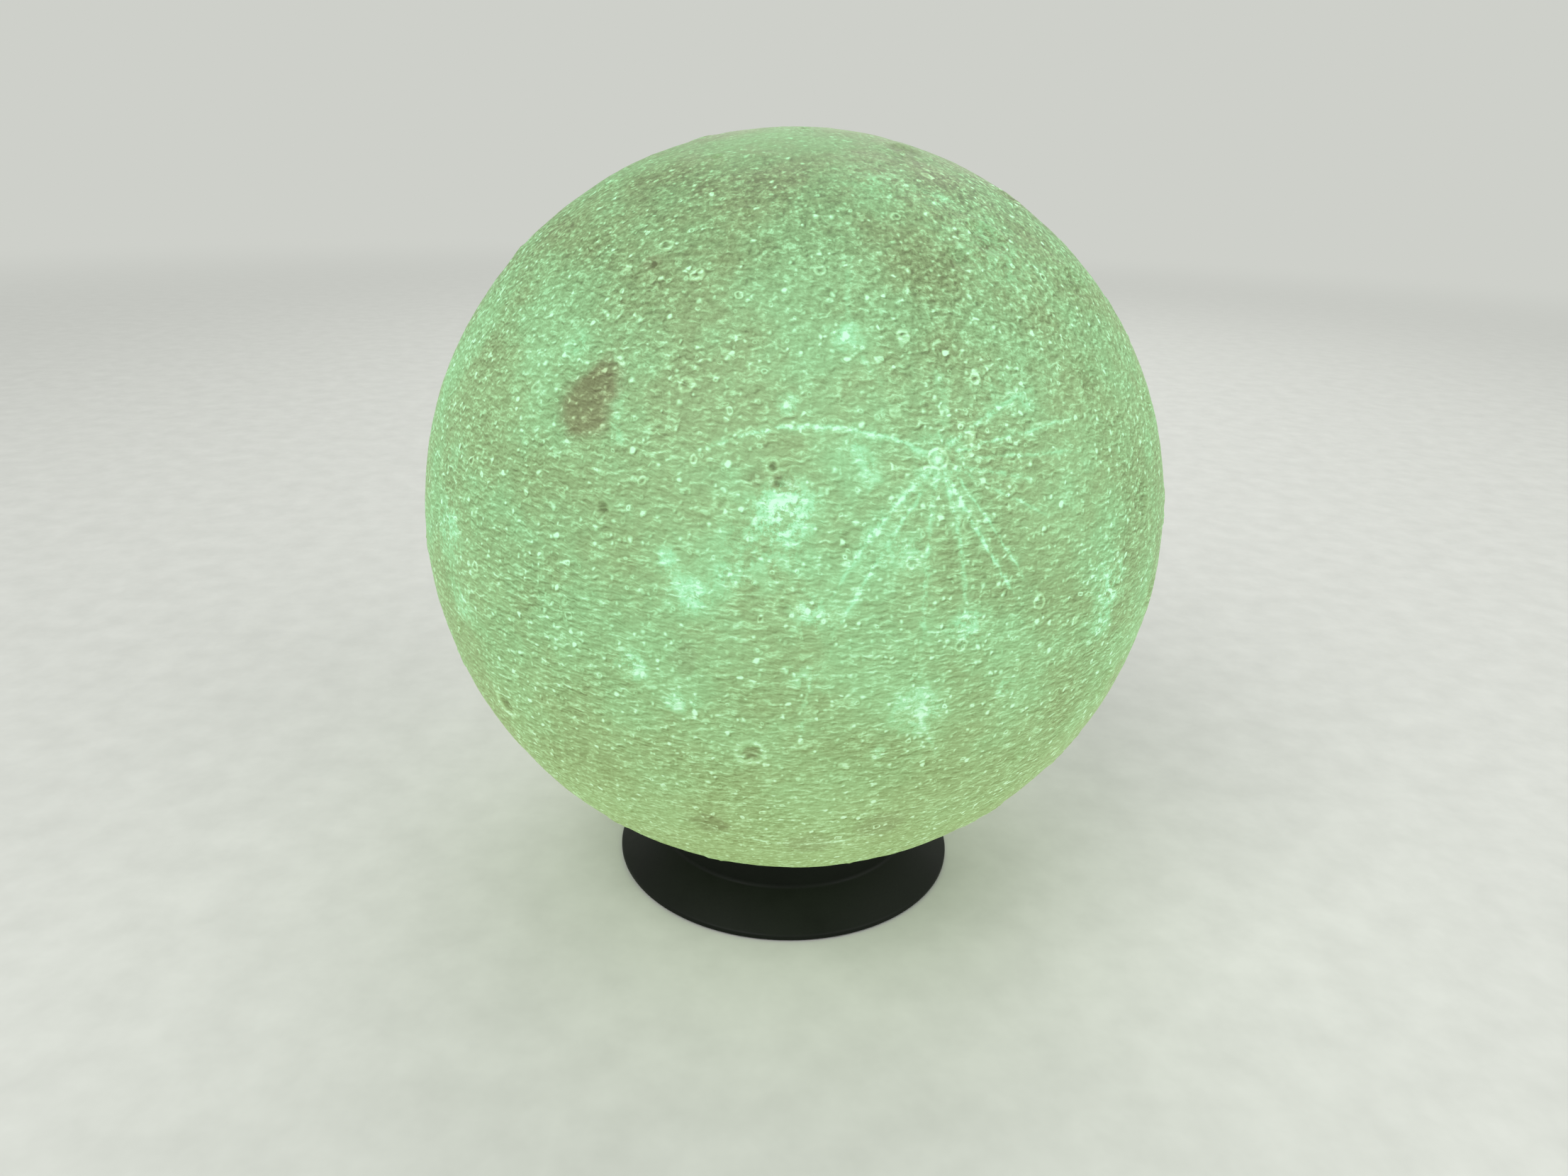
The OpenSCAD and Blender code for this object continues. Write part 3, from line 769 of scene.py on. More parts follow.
PATCHES = (
    Spot(17.8, 22.6, 6.0, 0.6),
    Spot(-1.2, 16.9, 6.8, 1.25),
    Spot(-11.9, 6.0, 4.6, 0.95),
    Spot(16.0, -8.5, 7.0, 0.9),
    Spot(21.4, 2.4, 4.8, 0.9),
    Spot(-19.7, -3.8, 3.8, 1.2),
    Spot(46.2, 3.0, 8.0, 0.85),
    Spot(166.0, -24.0, 8.0, 1.0),
    Spot(-108.0, 36.0, 6.5, 0.9),
    Spot(98.0, 14.0, 6.0, 0.8),
    Spot(6.5, 37.5, 4.2, 0.7),
    Spot(-1.4, 16.6, 2.3, 0.7),
    Spot(-3.5, 12.6, 11.0, 0.55),
    Spot(-8.1, 8.5, 4.0, 0.5),
    Spot(-15.4, 10.5, 3.0, 0.6),
    Spot(2.2, 5.0, 5.0, 0.65),
    Spot(1.6, -3.0, 4.4, 0.45),
    Spot(13.0, 12.0, 5.4, 0.6),
    Spot(-13.6, -8.0, 3.4, 1.1),
    Spot(11.3, -14.7, 2.4, 0.6),
    Spot(28.0, -7.0, 3.2, 0.6),
    Spot(45.0, -2.5, 5.0, 0.6),
    Spot(33.0, 28.6, 3.0, 0.6),
    Spot(35.5, 59.0, 5.5, 0.7),
    Spot(41.0, 49.0, 16.0, 0.55),
    Spot(22.0, 64.0, 12.0, 0.45),
    Spot(27.0, 30.0, 8.0, 0.3),
    Spot(-1.7, 29.0, 2.4, 0.7),
    Spot(-34.7, 34.0, 4.0, 0.45),
    Spot(-54.5, 6.0, 8.5, 0.85),
    Spot(-51.5, -4.0, 6.5, 0.7),
    Spot(-55.0, 16.0, 6.0, 0.4),
    Spot(140.0, 20.0, 5.0, 0.7),
    Spot(-150.0, -8.0, 6.0, 0.7),
    Spot(-124.0, -20.0, 4.0, 0.8),
    Spot(120.0, 42.0, 6.0, 0.5),
)

PITS = (
    Pit(17.8, 22.6, 1.45, 1.2, 1.35),
    Pit(17.8, 22.6, 0.6, 0.7, 0.0),
    Pit(-3.1, 21.8, 0.95, -1.1, 0.6),
    Pit(-24.2, 15.1, 1.3, -0.9, 0.3),
    Pit(-2.2, 20.1, 1.2, -1.3, 0.0),
    Pit(-4.9, -14.7, 2.3, -0.1, 0.7),
    Pit(13.9, 10.8, 0.95, -0.2, 0.9),
    Pit(16.0, -8.5, 1.2, 0.5, 0.6),
    Pit(-46.0, -18.2, 2.6, -0.6, 1.0),
    Pit(-27.0, 46.0, 1.0, -0.9, 0.2),
    Pit(-11.9, 6.1, 0.8, 0.9, 0.0),
    Pit(21.5, 14.8, 1.2, -0.2, 0.7),
    Pit(-9.0, 17.5, 1.1, 0.0, 0.5),
    Pit(-1.0, 5.6, 1.7, 0.0, 0.5),
    Pit(6.5, 37.5, 1.0, 1.9, 0.0),
    Pit(-1.7, 29.0, 0.9, 1.7, 0.0),
    Pit(166.0, -24.0, 1.6, 0.8, 1.4),
    Pit(-108.0, 36.0, 1.3, 0.9, 1.2),
    Pit(98.0, 14.0, 1.1, 0.8, 1.0),
)

STAINS = (
    Spot(-29.6, 26.6, 6.9, 1.0),
    Spot(-27.6, 30.4, 4.4, 0.8),
    Spot(-2.6, 20.3, 1.5, 0.45),
    Spot(-1.0, 19.8, 1.3, 0.3),
    Spot(-4.9, 20.4, 1.4, 0.3),
    Spot(-4.9, -14.9, 1.7, 0.55),
    Spot(-12.0, -31.0, 5.0, 0.45),
    Spot(15.0, -31.0, 6.0, 0.4),
    Spot(-27.0, 46.3, 2.4, 0.5),
    Spot(4.0, -36.0, 6.0, 0.4),
    Spot(-13.0, -2.0, 3.4, 0.3),
    Spot(158.0, 24.0, 8.0, 0.8),
    Spot(149.0, 30.0, 5.0, 0.6),
    Spot(-158.0, 38.0, 6.0, 0.7),
    Spot(-88.0, -14.0, 5.5, 0.7),
    Spot(122.0, -30.0, 5.0, 0.6),
)


class Glow(Enum):
    """The globe's colours where its wall goes from thick to thin, each with its place from 0 to 1."""

    OLIVE = ((0.0, srgb(112, 127, 84)), (0.25, srgb(141, 168, 115)), (0.5, srgb(158, 197, 137)),
             (0.75, srgb(174, 224, 160)), (1.0, srgb(202, 251, 204)))
    MINT = ((0.0, srgb(114, 153, 104)), (0.25, srgb(139, 192, 133)), (0.5, srgb(153, 219, 156)),
            (0.75, srgb(169, 239, 182)), (1.0, srgb(206, 254, 221)))
    BROWN = ((0.0, srgb(102, 98, 68)), (0.25, srgb(120, 123, 84)), (0.5, srgb(139, 149, 101)),
             (0.75, srgb(162, 184, 128)), (1.0, srgb(190, 222, 162)))
    STRAW = ((0.0, srgb(128, 136, 88)), (0.25, srgb(150, 172, 112)), (0.5, srgb(168, 196, 133)),
             (0.75, srgb(184, 216, 154)), (1.0, srgb(206, 240, 190)))


@dataclass(frozen=True)
class GlobePrint(Finish):
    """The printed globe, lit from inside: it glows unevenly where the wall is thin or thick, with painted
    emboss shading on its grain and painted shade towards its top.
    """

    radius: float
    middle_z: float
    name: str = "globe_print"
    skin: Colour = (0.103, 0.118, 0.082)
    skin_dark: Colour = (0.085, 0.1, 0.075)
    skin_light: Colour = (0.13, 0.15, 0.12)
    cloud_at: tuple[float, float, float] = (-174.0, -79.0, 41.0)
    breadth_at: tuple[float, float, float] = (18.0, -75.0, -73.0)
    # How far west and up the painted emboss shading looks for the neighbour that it compares with, in
    # millimetres.
    shade_shift_east: float = -0.24
    shade_shift_up: float = 0.28
    ray_overrun: float = 1.15

    def spots(self, wiring: Wiring, group: bpy.types.NodeTree, place: Socket, spots: tuple[Spot, ...],
              **values: float) -> Socket:
        """Add up the masks of a group that is placed once for each spot.

        Args:
            wiring: The material's wiring.
            group: The group.
            place: The unit direction on the globe.
            spots: The spots.
            **values: Further inputs of the group.

        Returns:
            The sum, each spot times its strength.
        """
        result: Feed = 0.0
        for spot in spots:
            node = wiring.effect(group, Place=place, Middle=spot.middle, Radius=spot.radius / self.radius,
                                 **values)
            result = wiring.more(result, node.outputs["Mask"], spot.strength)
        return result

    def pits(self, wiring: Wiring, group: bpy.types.NodeTree, place: Socket) -> Socket:
        """Add up the small craters' floors and rims.

        Args:
            wiring: The material's wiring.
            group: The crater group.
            place: The unit direction on the globe.

        Returns:
            The sum, each floor and rim times its strength.
        """
        result: Feed = 0.0
        for pit in PITS:
            node = wiring.effect(group, Place=place, Middle=pit.middle, Radius=pit.radius / self.radius)
            result = wiring.more(result, node.outputs["Floor"], pit.strength)
            result = wiring.more(result, node.outputs["Rim"], pit.rim)
        return result

    def rays(self, wiring: Wiring, group: bpy.types.NodeTree, place: Socket) -> Socket:
        """Add up the bright rays.

        Args:
            wiring: The material's wiring.
            group: The ray group.
            place: The unit direction on the globe.

        Returns:
            The rays' sum.
        """
        result: Feed = 0.0
        for ray in RAYS:
            start, through, end = (toward(*point) for point in (ray.start, ray.through, ray.end))
            across = (through - start).cross(end - start).normalized()
            heading = (end - start).normalized()
            node = wiring.effect(
                group, Place=place, Start=start, Heading=heading, Across=across, Offset=start.dot(across),
                Reach=(end - start).length * self.ray_overrun, Width=ray.width / self.radius)
            result = wiring.more(result, node.outputs["Mask"], ray.strength)
        return result

    def grain(self, wiring: Wiring, effects: Effects, place: Socket,
              unit: Socket) -> tuple[Socket, Socket, Socket]:
        """Make the fine grain with painted emboss shading: a painted highlight on slopes that face down and
        to the east, and painted shade on the slopes opposite.

        Args:
            wiring: The material's wiring.
            effects: The shared node groups.
            place: Millimetres from the globe's middle.
            unit: The unit direction on the globe.

        Returns:
            The grain with its painted emboss shading, what stands out bright in it, and its height.
        """
        east = wiring.vector("NORMALIZE", wiring.vector("CROSS_PRODUCT", (0, 0, 1), unit))
        beside = wiring.vector("ADD", place, wiring.vector("SCALE", east, scale=self.shade_shift_east))
        beside = wiring.vector("ADD", beside, (0.0, 0.0, self.shade_shift_up))
        here = wiring.effect(effects.relief, Position=place).outputs
        there = wiring.effect(effects.relief, Position=beside).outputs
        # Painted emboss shading: the height here less the height a small step west and up, which lights one
        # side of each bump and shades the other.
        slope = wiring.math("SUBTRACT", here["Height"], there["Height"])
        grain = wiring.total((here["Height"], 0.42), (here["Shine"], 0.44), (slope, 0.42),
                             (here["Rings"], 0.2))
        grain = wiring.math("SUBTRACT", wiring.math("MULTIPLY", grain, 1.25), 0.5)
        return grain, here["Shine"], here["Height"]

    def glow(self, wiring: Wiring, up: Socket, level: Socket, mint: Socket, stain: Socket) -> Socket:
        """Turn the print's brightness into the colour of its glow.

        Args:
            wiring: The material's wiring.
            up: The height on the globe, -1 to 1.
            level: The brightness, 0 to 1.
            mint: How minty the print is.
            stain: How stained it is.

        Returns:
            The glow, less the light that the skin throws back.
        """
        mint = wiring.math("MULTIPLY", mint, 1.0, clamp=True)
        stain = wiring.math("MULTIPLY", stain, 1.0, clamp=True)
        olive, minty, brown, straw = (wiring.ramp(level, tone.value) for tone in Glow)
        glow = wiring.blend(mint, olive, minty)
        glow = wiring.blend(wiring.band(up, -0.75, 0.2, 0.9, 0.0), glow, straw)
        glow = wiring.blend(wiring.math("MULTIPLY", stain, 0.9), glow, brown)
        return wiring.blend(1.0, glow, self.skin, "SUBTRACT")

    def make(self, effects: Effects) -> bpy.types.Material:
        """Make the material.

        Args:
            effects: The shared node groups.

        Returns:
            The material.
        """
        material, wiring, shader = self.start()
        place = wiring.vector("SUBTRACT", self.place_mm(wiring), (0.0, 0.0, self.middle_z))
        unit = wiring.vector("NORMALIZE", place)
        rough_way = wiring.vector("NORMALIZE", wiring.swirl(place, scale=0.32, reach=1.6))
        near_way = wiring.vector("NORMALIZE", wiring.swirl(place, scale=0.6, reach=0.28))
        loose_way = wiring.vector("NORMALIZE", wiring.swirl(place, scale=0.45, reach=0.55))
        up = wiring.split(unit)[2]
        calm = wiring.band(up, 0.86, 0.97, 1.0, 0.4)
        relief = wiring.add("ShaderNodeAttribute", attribute_name="relief").outputs["Fac"]
        cloud = wiring.noise(wiring.vector("ADD", place, self.cloud_at), 0.05, detail=4.0, roughness=0.62)
        breadth = wiring.noise(wiring.vector("ADD", place, self.breadth_at), 0.028, detail=3.0,
                               roughness=0.55)
        sparse = wiring.band(breadth, 0.35, 0.62, 0.85, 1.12)

        # The grain carries the painted emboss shading.
        grain, shine, height = self.grain(wiring, effects, place, unit)
        beads = wiring.noise(place, 0.6, detail=3.0, roughness=0.75)
        rays = wiring.math("MULTIPLY", self.rays(wiring, effects.ray, loose_way),
                           wiring.band(beads, 0.36, 0.6, 0.15, 1.3))
        tatters = wiring.noise(place, 0.45, detail=4.0, roughness=0.8)
        splash = wiring.math("MULTIPLY", self.spots(wiring, effects.patch, rough_way, PATCHES, Core=0.1),
                             wiring.band(tatters, 0.4, 0.58, 0.12, 1.45))
        stain = self.spots(wiring, effects.patch, rough_way, STAINS, Core=0.45)
        pits = self.pits(wiring, effects.pit, near_way)
        grain = wiring.math("MULTIPLY", wiring.math("MULTIPLY", grain, calm),
                            wiring.band(stain, 0.0, 1.0, 1.0, 0.8))

        # The level falls towards the top: partly the glow's own dimmer top, partly painted shade that offsets
        # the key light from above. It is also lifted a little at the bottom.
        level = wiring.total(
            (wiring.math("MULTIPLY", grain, sparse), 1.0), (wiring.math("SUBTRACT", cloud, 0.5), 0.3),
            (rays, 0.34), (splash, 0.26), (pits, 0.3), (relief, 0.25), (stain, -0.06),
            (wiring.band(up, 0.8, 0.98), -0.09), (wiring.band(up, -0.6, -0.3, 1.0, 0.0), 0.03))
        level = wiring.math("ADD", level, wiring.band(up, 0.4, 1.0, 0.57, 0.35), clamp=True)
        mint = wiring.total((splash, 0.75), (rays, 0.8), (wiring.band(cloud, 0.4, 0.66), 0.45),
                            (shine, 0.5))
        wiring.feed(shader.inputs["Emission Color"], self.glow(wiring, up, level, mint, stain))
        shader.inputs["Emission Strength"].default_value = 1.0
        wiring.feed(shader.inputs["Base Color"],
                    wiring.ramp(level, [(0.2, self.skin_dark), (0.8, self.skin_light)]))
        wiring.feed(shader.inputs["Roughness"], wiring.band(cloud, 0.3, 0.7, 0.5, 0.64))
        shader.inputs["Specular IOR Level"].default_value = 0.15
        self.bump(wiring, shader, wiring.math("MULTIPLY", height, calm), depth=0.1, strength=0.5)
        return material


@dataclass(frozen=True)
class TraceBoard(Finish):
    """A circuit board under solder resist, with traces that show through it."""

    name: str
    resist: Colour
    trace: Colour
    shine: tuple[float, float] = (0.28, 0.4)

    def make(self, effects: Effects) -> bpy.types.Material:
        """Make the material.

        Args:
            effects: The shared node groups.

        Returns:
            The material.
        """
        material, wiring, shader = self.start()
        place = self.place_mm(wiring)
        traces = []
        for turn in (0.0, math.radians(90)):
            turned = wiring.add("ShaderNodeVectorRotate", rotation_type="Z_AXIS")
            wiring.feed(turned.inputs["Vector"], place)
            turned.inputs["Angle"].default_value = turn
            bricks = wiring.add("ShaderNodeTexBrick", offset=0.37, offset_frequency=3, squash=0.6)
            wiring.feed(bricks.inputs["Vector"], turned.outputs[0])
            for name, value in (("Scale", 1.0), ("Mortar Size", 0.09), ("Mortar Smooth", 0.2),
                                ("Brick Width", 4.2), ("Row Height", 1.7)):
                bricks.inputs[name].default_value = value
            traces.append(bricks.outputs["Fac"])
        shown = wiring.math("MAXIMUM", traces[0], traces[1])
        grain = wiring.effect(effects.moulded, Position=place, Size=0.5)
        cover = wiring.band(grain.outputs["Cloud"], 0.35, 0.6, 0.15, 0.8)
        tone = wiring.blend(wiring.math("MULTIPLY", shown, cover), self.resist, self.trace)
        wiring.feed(shader.inputs["Base Color"], tone)
        wiring.feed(shader.inputs["Roughness"],
                    wiring.band(grain.outputs["Speck"], 0.3, 0.7, self.shine[0], self.shine[1]))
        self.bump(wiring, shader, shown, 0.04, 0.5)
        return material


def finishes(radius: float, middle_z: float) -> dict[str, Finish]:
    """List the lamp's finishes by the slots of the record that they stand for.

    Args:
        radius: The globe's radius in millimetres.
        middle_z: The height of the globe's middle in millimetres.

    Returns:
        A finish for each slot.
    """
    return {
        "globe_print": GlobePrint(radius, middle_z),
        # Black plastic; the green lean of its dark and light tones is painted glow from the green globe.
        "stand_black": Moulded("stand_black", srgb(10, 14, 9), srgb(19, 24, 17), grain=0.3, depth=0.018,
                               strength=0.35, shine=(0.44, 0.56), specular=0.15),
        "pad_rubber": Moulded("pad_rubber", srgb(34, 35, 34), srgb(58, 59, 57), grain=0.24, depth=0.05,
                              strength=0.7, shine=(0.72, 0.86), specular=0.25),
        "ring_slip": Moulded("ring_slip", srgb(38, 40, 38), srgb(56, 58, 55), grain=0.4, depth=0.01,
                             shine=(0.26, 0.36)),
        "cap_white": Moulded("cap_white", srgb(208, 209, 200), srgb(224, 225, 216), grain=0.35,
                             shine=(0.38, 0.5)),
        "touch_metal": Metal("touch_metal", srgb(168, 168, 164), srgb(214, 213, 208), (1.0, 1.0, 9.0), True),
        "socket_metal": Metal("socket_metal", srgb(150, 152, 152), srgb(196, 198, 198), (6.0, 6.0, 0.8)),
        "contact_gold": Metal("contact_gold", srgb(206, 164, 84), srgb(240, 206, 128), (1.0, 1.0, 8.0), True),
        "black_moulding": Moulded("black_moulding", srgb(26, 26, 28), srgb(44, 44, 47), grain=0.2,
                                  shine=(0.4, 0.6)),
        "board_green": TraceBoard("board_green", srgb(28, 92, 52), srgb(70, 140, 84)),
        "board_white": TraceBoard("board_white", srgb(222, 224, 220), srgb(202, 205, 202)),
        "clear_rod": ClearRod(),
        "screw_steel": Metal("screw_steel", srgb(140, 142, 144), srgb(190, 192, 194), (1.0, 1.0, 7.0)),
        "cell_wrap": Moulded("cell_wrap", srgb(38, 96, 150), srgb(62, 126, 178), grain=0.5, depth=0.012,
                             shine=(0.24, 0.36)),
        "nickel": Metal("nickel", srgb(160, 160, 154), srgb(206, 205, 198), (5.0, 0.6, 5.0)),
        "foam_grey": Moulded("foam_grey", srgb(62, 62, 66), srgb(104, 104, 108), grain=0.45, depth=0.14,
                             strength=1.0, shine=(0.85, 0.95), specular=0.15),
        "wire_red": Moulded("wire_red", srgb(168, 22, 24), srgb(200, 44, 40), grain=0.3, shine=(0.36, 0.48)),
        "wire_white": Moulded("wire_white", srgb(214, 214, 210), srgb(230, 230, 226), grain=0.3,
                              shine=(0.36, 0.48)),
        "emitter": Moulded("emitter", srgb(216, 210, 150), srgb(238, 234, 188), grain=0.3,
                           shine=(0.3, 0.4)),
    }


# ----------------------------------------------------------------------------------------------------
# Meshes
# ----------------------------------------------------------------------------------------------------

Outline = list[tuple[float, float]]


def rounded(corners: list[tuple[float, float, float]], steps: int = 5) -> Outline:
    """Round the corners of a closed outline.

    Args:
        corners: Each corner's distance from the axis, height and rounding radius.
        steps: How many steps a rounding has.

    Returns:
        The outline's points.
    """
    points: Outline = []
    longest = 0.48
    for index, (out, high, radius) in enumerate(corners):
        here = Vector((out, high))
        back = Vector(corners[index - 1][:2]) - here
        on = Vector(corners[(index + 1) % len(corners)][:2]) - here
        if radius == 0.0:
            points.append((out, high))
            continue
        half = back.angle(on) / 2
        cut = min(radius / math.tan(half), longest * back.length, longest * on.length)
        bend = cut * math.tan(half)
        middle = here + (back.normalized() + on.normalized()).normalized() * (bend / math.sin(half))
        first = here + back.normalized() * cut - middle
        last = here + on.normalized() * cut - middle
        angle = math.atan2(first.y, first.x)
        turn = (math.atan2(last.y, last.x) - angle + math.pi) % math.tau - math.pi
        for step in range(steps + 1):
            at = angle + turn * step / steps
            points.append((middle.x + bend * math.cos(at), middle.y + bend * math.sin(at)))
    return points


class Shape:
    """Points and faces of one piece, in millimetres, put together part by part."""

    def __init__(self) -> None:
        """Start empty."""
        self.points: list[tuple[float, float, float]] = []
        self.faces: list[list[int]] = []

    def revolve(self, outline: Outline, segments: int = 128, closed: bool = True,
                at: tuple[float, float] = (0.0, 0.0)) -> None:
        """Turn an outline about an upright axis.

        Args:
            outline: Distances from the axis and heights; a distance of 0 makes one point.
            segments: How many steps a turn has.
            closed: Whether the last point is joined to the first.
            at: Where the axis stands.
        """
        rings = []
        for out, high in outline:
            if out == 0.0:
                self.points.append((at[0], at[1], high))
                rings.append([len(self.points) - 1] * segments)
                continue
            rings.append(list(range(len(self.points), len(self.points) + segments)))
            for step in range(segments):
                angle = math.tau * step / segments
                self.points.append((at[0] + out * math.cos(angle), at[1] + out * math.sin(angle), high))
        pairs = list(zip(rings, rings[1:]))
        if closed:
            pairs.append((rings[-1], rings[0]))
        for low, high_ring in pairs:
            for step in range(segments):
                after = (step + 1) % segments
                face = [low[step], low[after], high_ring[after], high_ring[step]]
                face = [corner for place, corner in enumerate(face) if corner != face[place - 1]]
                if len(set(face)) > 2:
                    self.faces.append(face)

    def slab(self, outline: Outline, thickness: float, turn: float) -> None:
        """Stand a flat outline on edge along a radius.

        Args:
            outline: Distances from the axis and heights.
            thickness: The slab's thickness.
            turn: Its angle about the axis, in degrees.
        """
        angle = math.radians(turn)
        along, across = math.cos(angle), math.sin(angle)
        start, count = len(self.points), len(outline)
        for side in (-thickness / 2, thickness / 2):
            for out, high in outline:
                self.points.append((out * along - side * across, out * across + side * along, high))
        self.faces.append([start + step for step in range(count)])
        self.faces.append([start + count + step for step in reversed(range(count))])
        for step in range(count):
            after = (step + 1) % count
            self.faces.append([start + step, start + after, start + count + after, start + count + step])

    def sweep(self, rings: list[list[tuple[float, float, float]]]) -> None:
        """Join closed rings of equally many points and close both ends.

        Args:
            rings: The rings, in order.
        """
        count = len(rings[0])
        starts = []
        for ring in rings:
            starts.append(len(self.points))
            self.points.extend(ring)
        for low, high in zip(starts, starts[1:]):
            for step in range(count):
                after = (step + 1) % count
                self.faces.append([low + step, low + after, high + after, high + step])
        self.faces.append([starts[0] + step for step in reversed(range(count))])
        self.faces.append([starts[-1] + step for step in range(count)])

    def piece(self, name: str, crease: float = 32.0) -> bpy.types.Object:
        """Make the object.

        Args:
            name: The piece's name.
            crease: The angle in degrees from which an edge looks sharp.

        Returns:
            The new object.
        """
        mesh = bpy.data.meshes.new(name)
        mesh.from_pydata([tuple(part * MM for part in point) for point in self.points], [], self.faces)
        tidy_normals(mesh)
        mesh.shade_smooth()
        mesh.set_sharp_from_angle(angle=math.radians(crease))
        made = bpy.data.objects.new(name, mesh)
        bpy.context.scene.collection.objects.link(made)
        return made


def tidy_normals(mesh: bpy.types.Mesh) -> None:
    """Turn every face of a mesh outwards.

    Args:
        mesh: The mesh.
    """
    work = bmesh.new()
    work.from_mesh(mesh)
    bmesh.ops.recalc_face_normals(work, faces=work.faces)
    work.to_mesh(mesh)
    work.free()


def obround(width: float, depth: float, high: float, steps: int = 12) -> list[tuple[float, float, float]]:
    """Give a level ring with two straight sides and two half-round ends.

    Args:
        width: Its whole width, along X.
        depth: Its depth, along Y.
        high: Its height.
        steps: How many steps each end has.

    Returns:
        The ring's points.
    """
    ring = []
    for side in (1, -1):
        for step in range(steps + 1):
            angle = side * math.pi / 2 - math.pi / 2 + math.pi * (step / steps - 0.5) + math.pi / 2
            ring.append((side * (width - depth) / 2 + depth / 2 * math.cos(angle),
                         depth / 2 * math.sin(angle), high))
    return ring


def fit(piece: bpy.types.Object, body: str, finish: bpy.types.Material, slot: str, *nodes: str) -> None:
    """Dress a new piece and put it in the place of the plain solids that it stands for.

    Args:
        piece: The piece.
        body: The body that it moves with.
        finish: Its material.
        slot: The record's slot for that finish; not used.
        *nodes: The plain solids.
    """
    piece.data.materials.append(finish)
    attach(piece, body)
    if nodes:
        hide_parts(*nodes)
    LOG.info("built %s with %d faces", piece.name, len(piece.data.polygons))


def dress(node: str, finish: bpy.types.Material) -> None:
    """Give a carried-over solid its finish.

    Args:
        node: The solid's name.
        finish: Its material.
    """
    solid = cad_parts[node]
    solid.data.materials.clear()
    solid.data.materials.append(finish)
    LOG.info("dressed %s", node)


# ----------------------------------------------------------------------------------------------------
# The lamp
# ----------------------------------------------------------------------------------------------------

Materials = dict[str, bpy.types.Material]


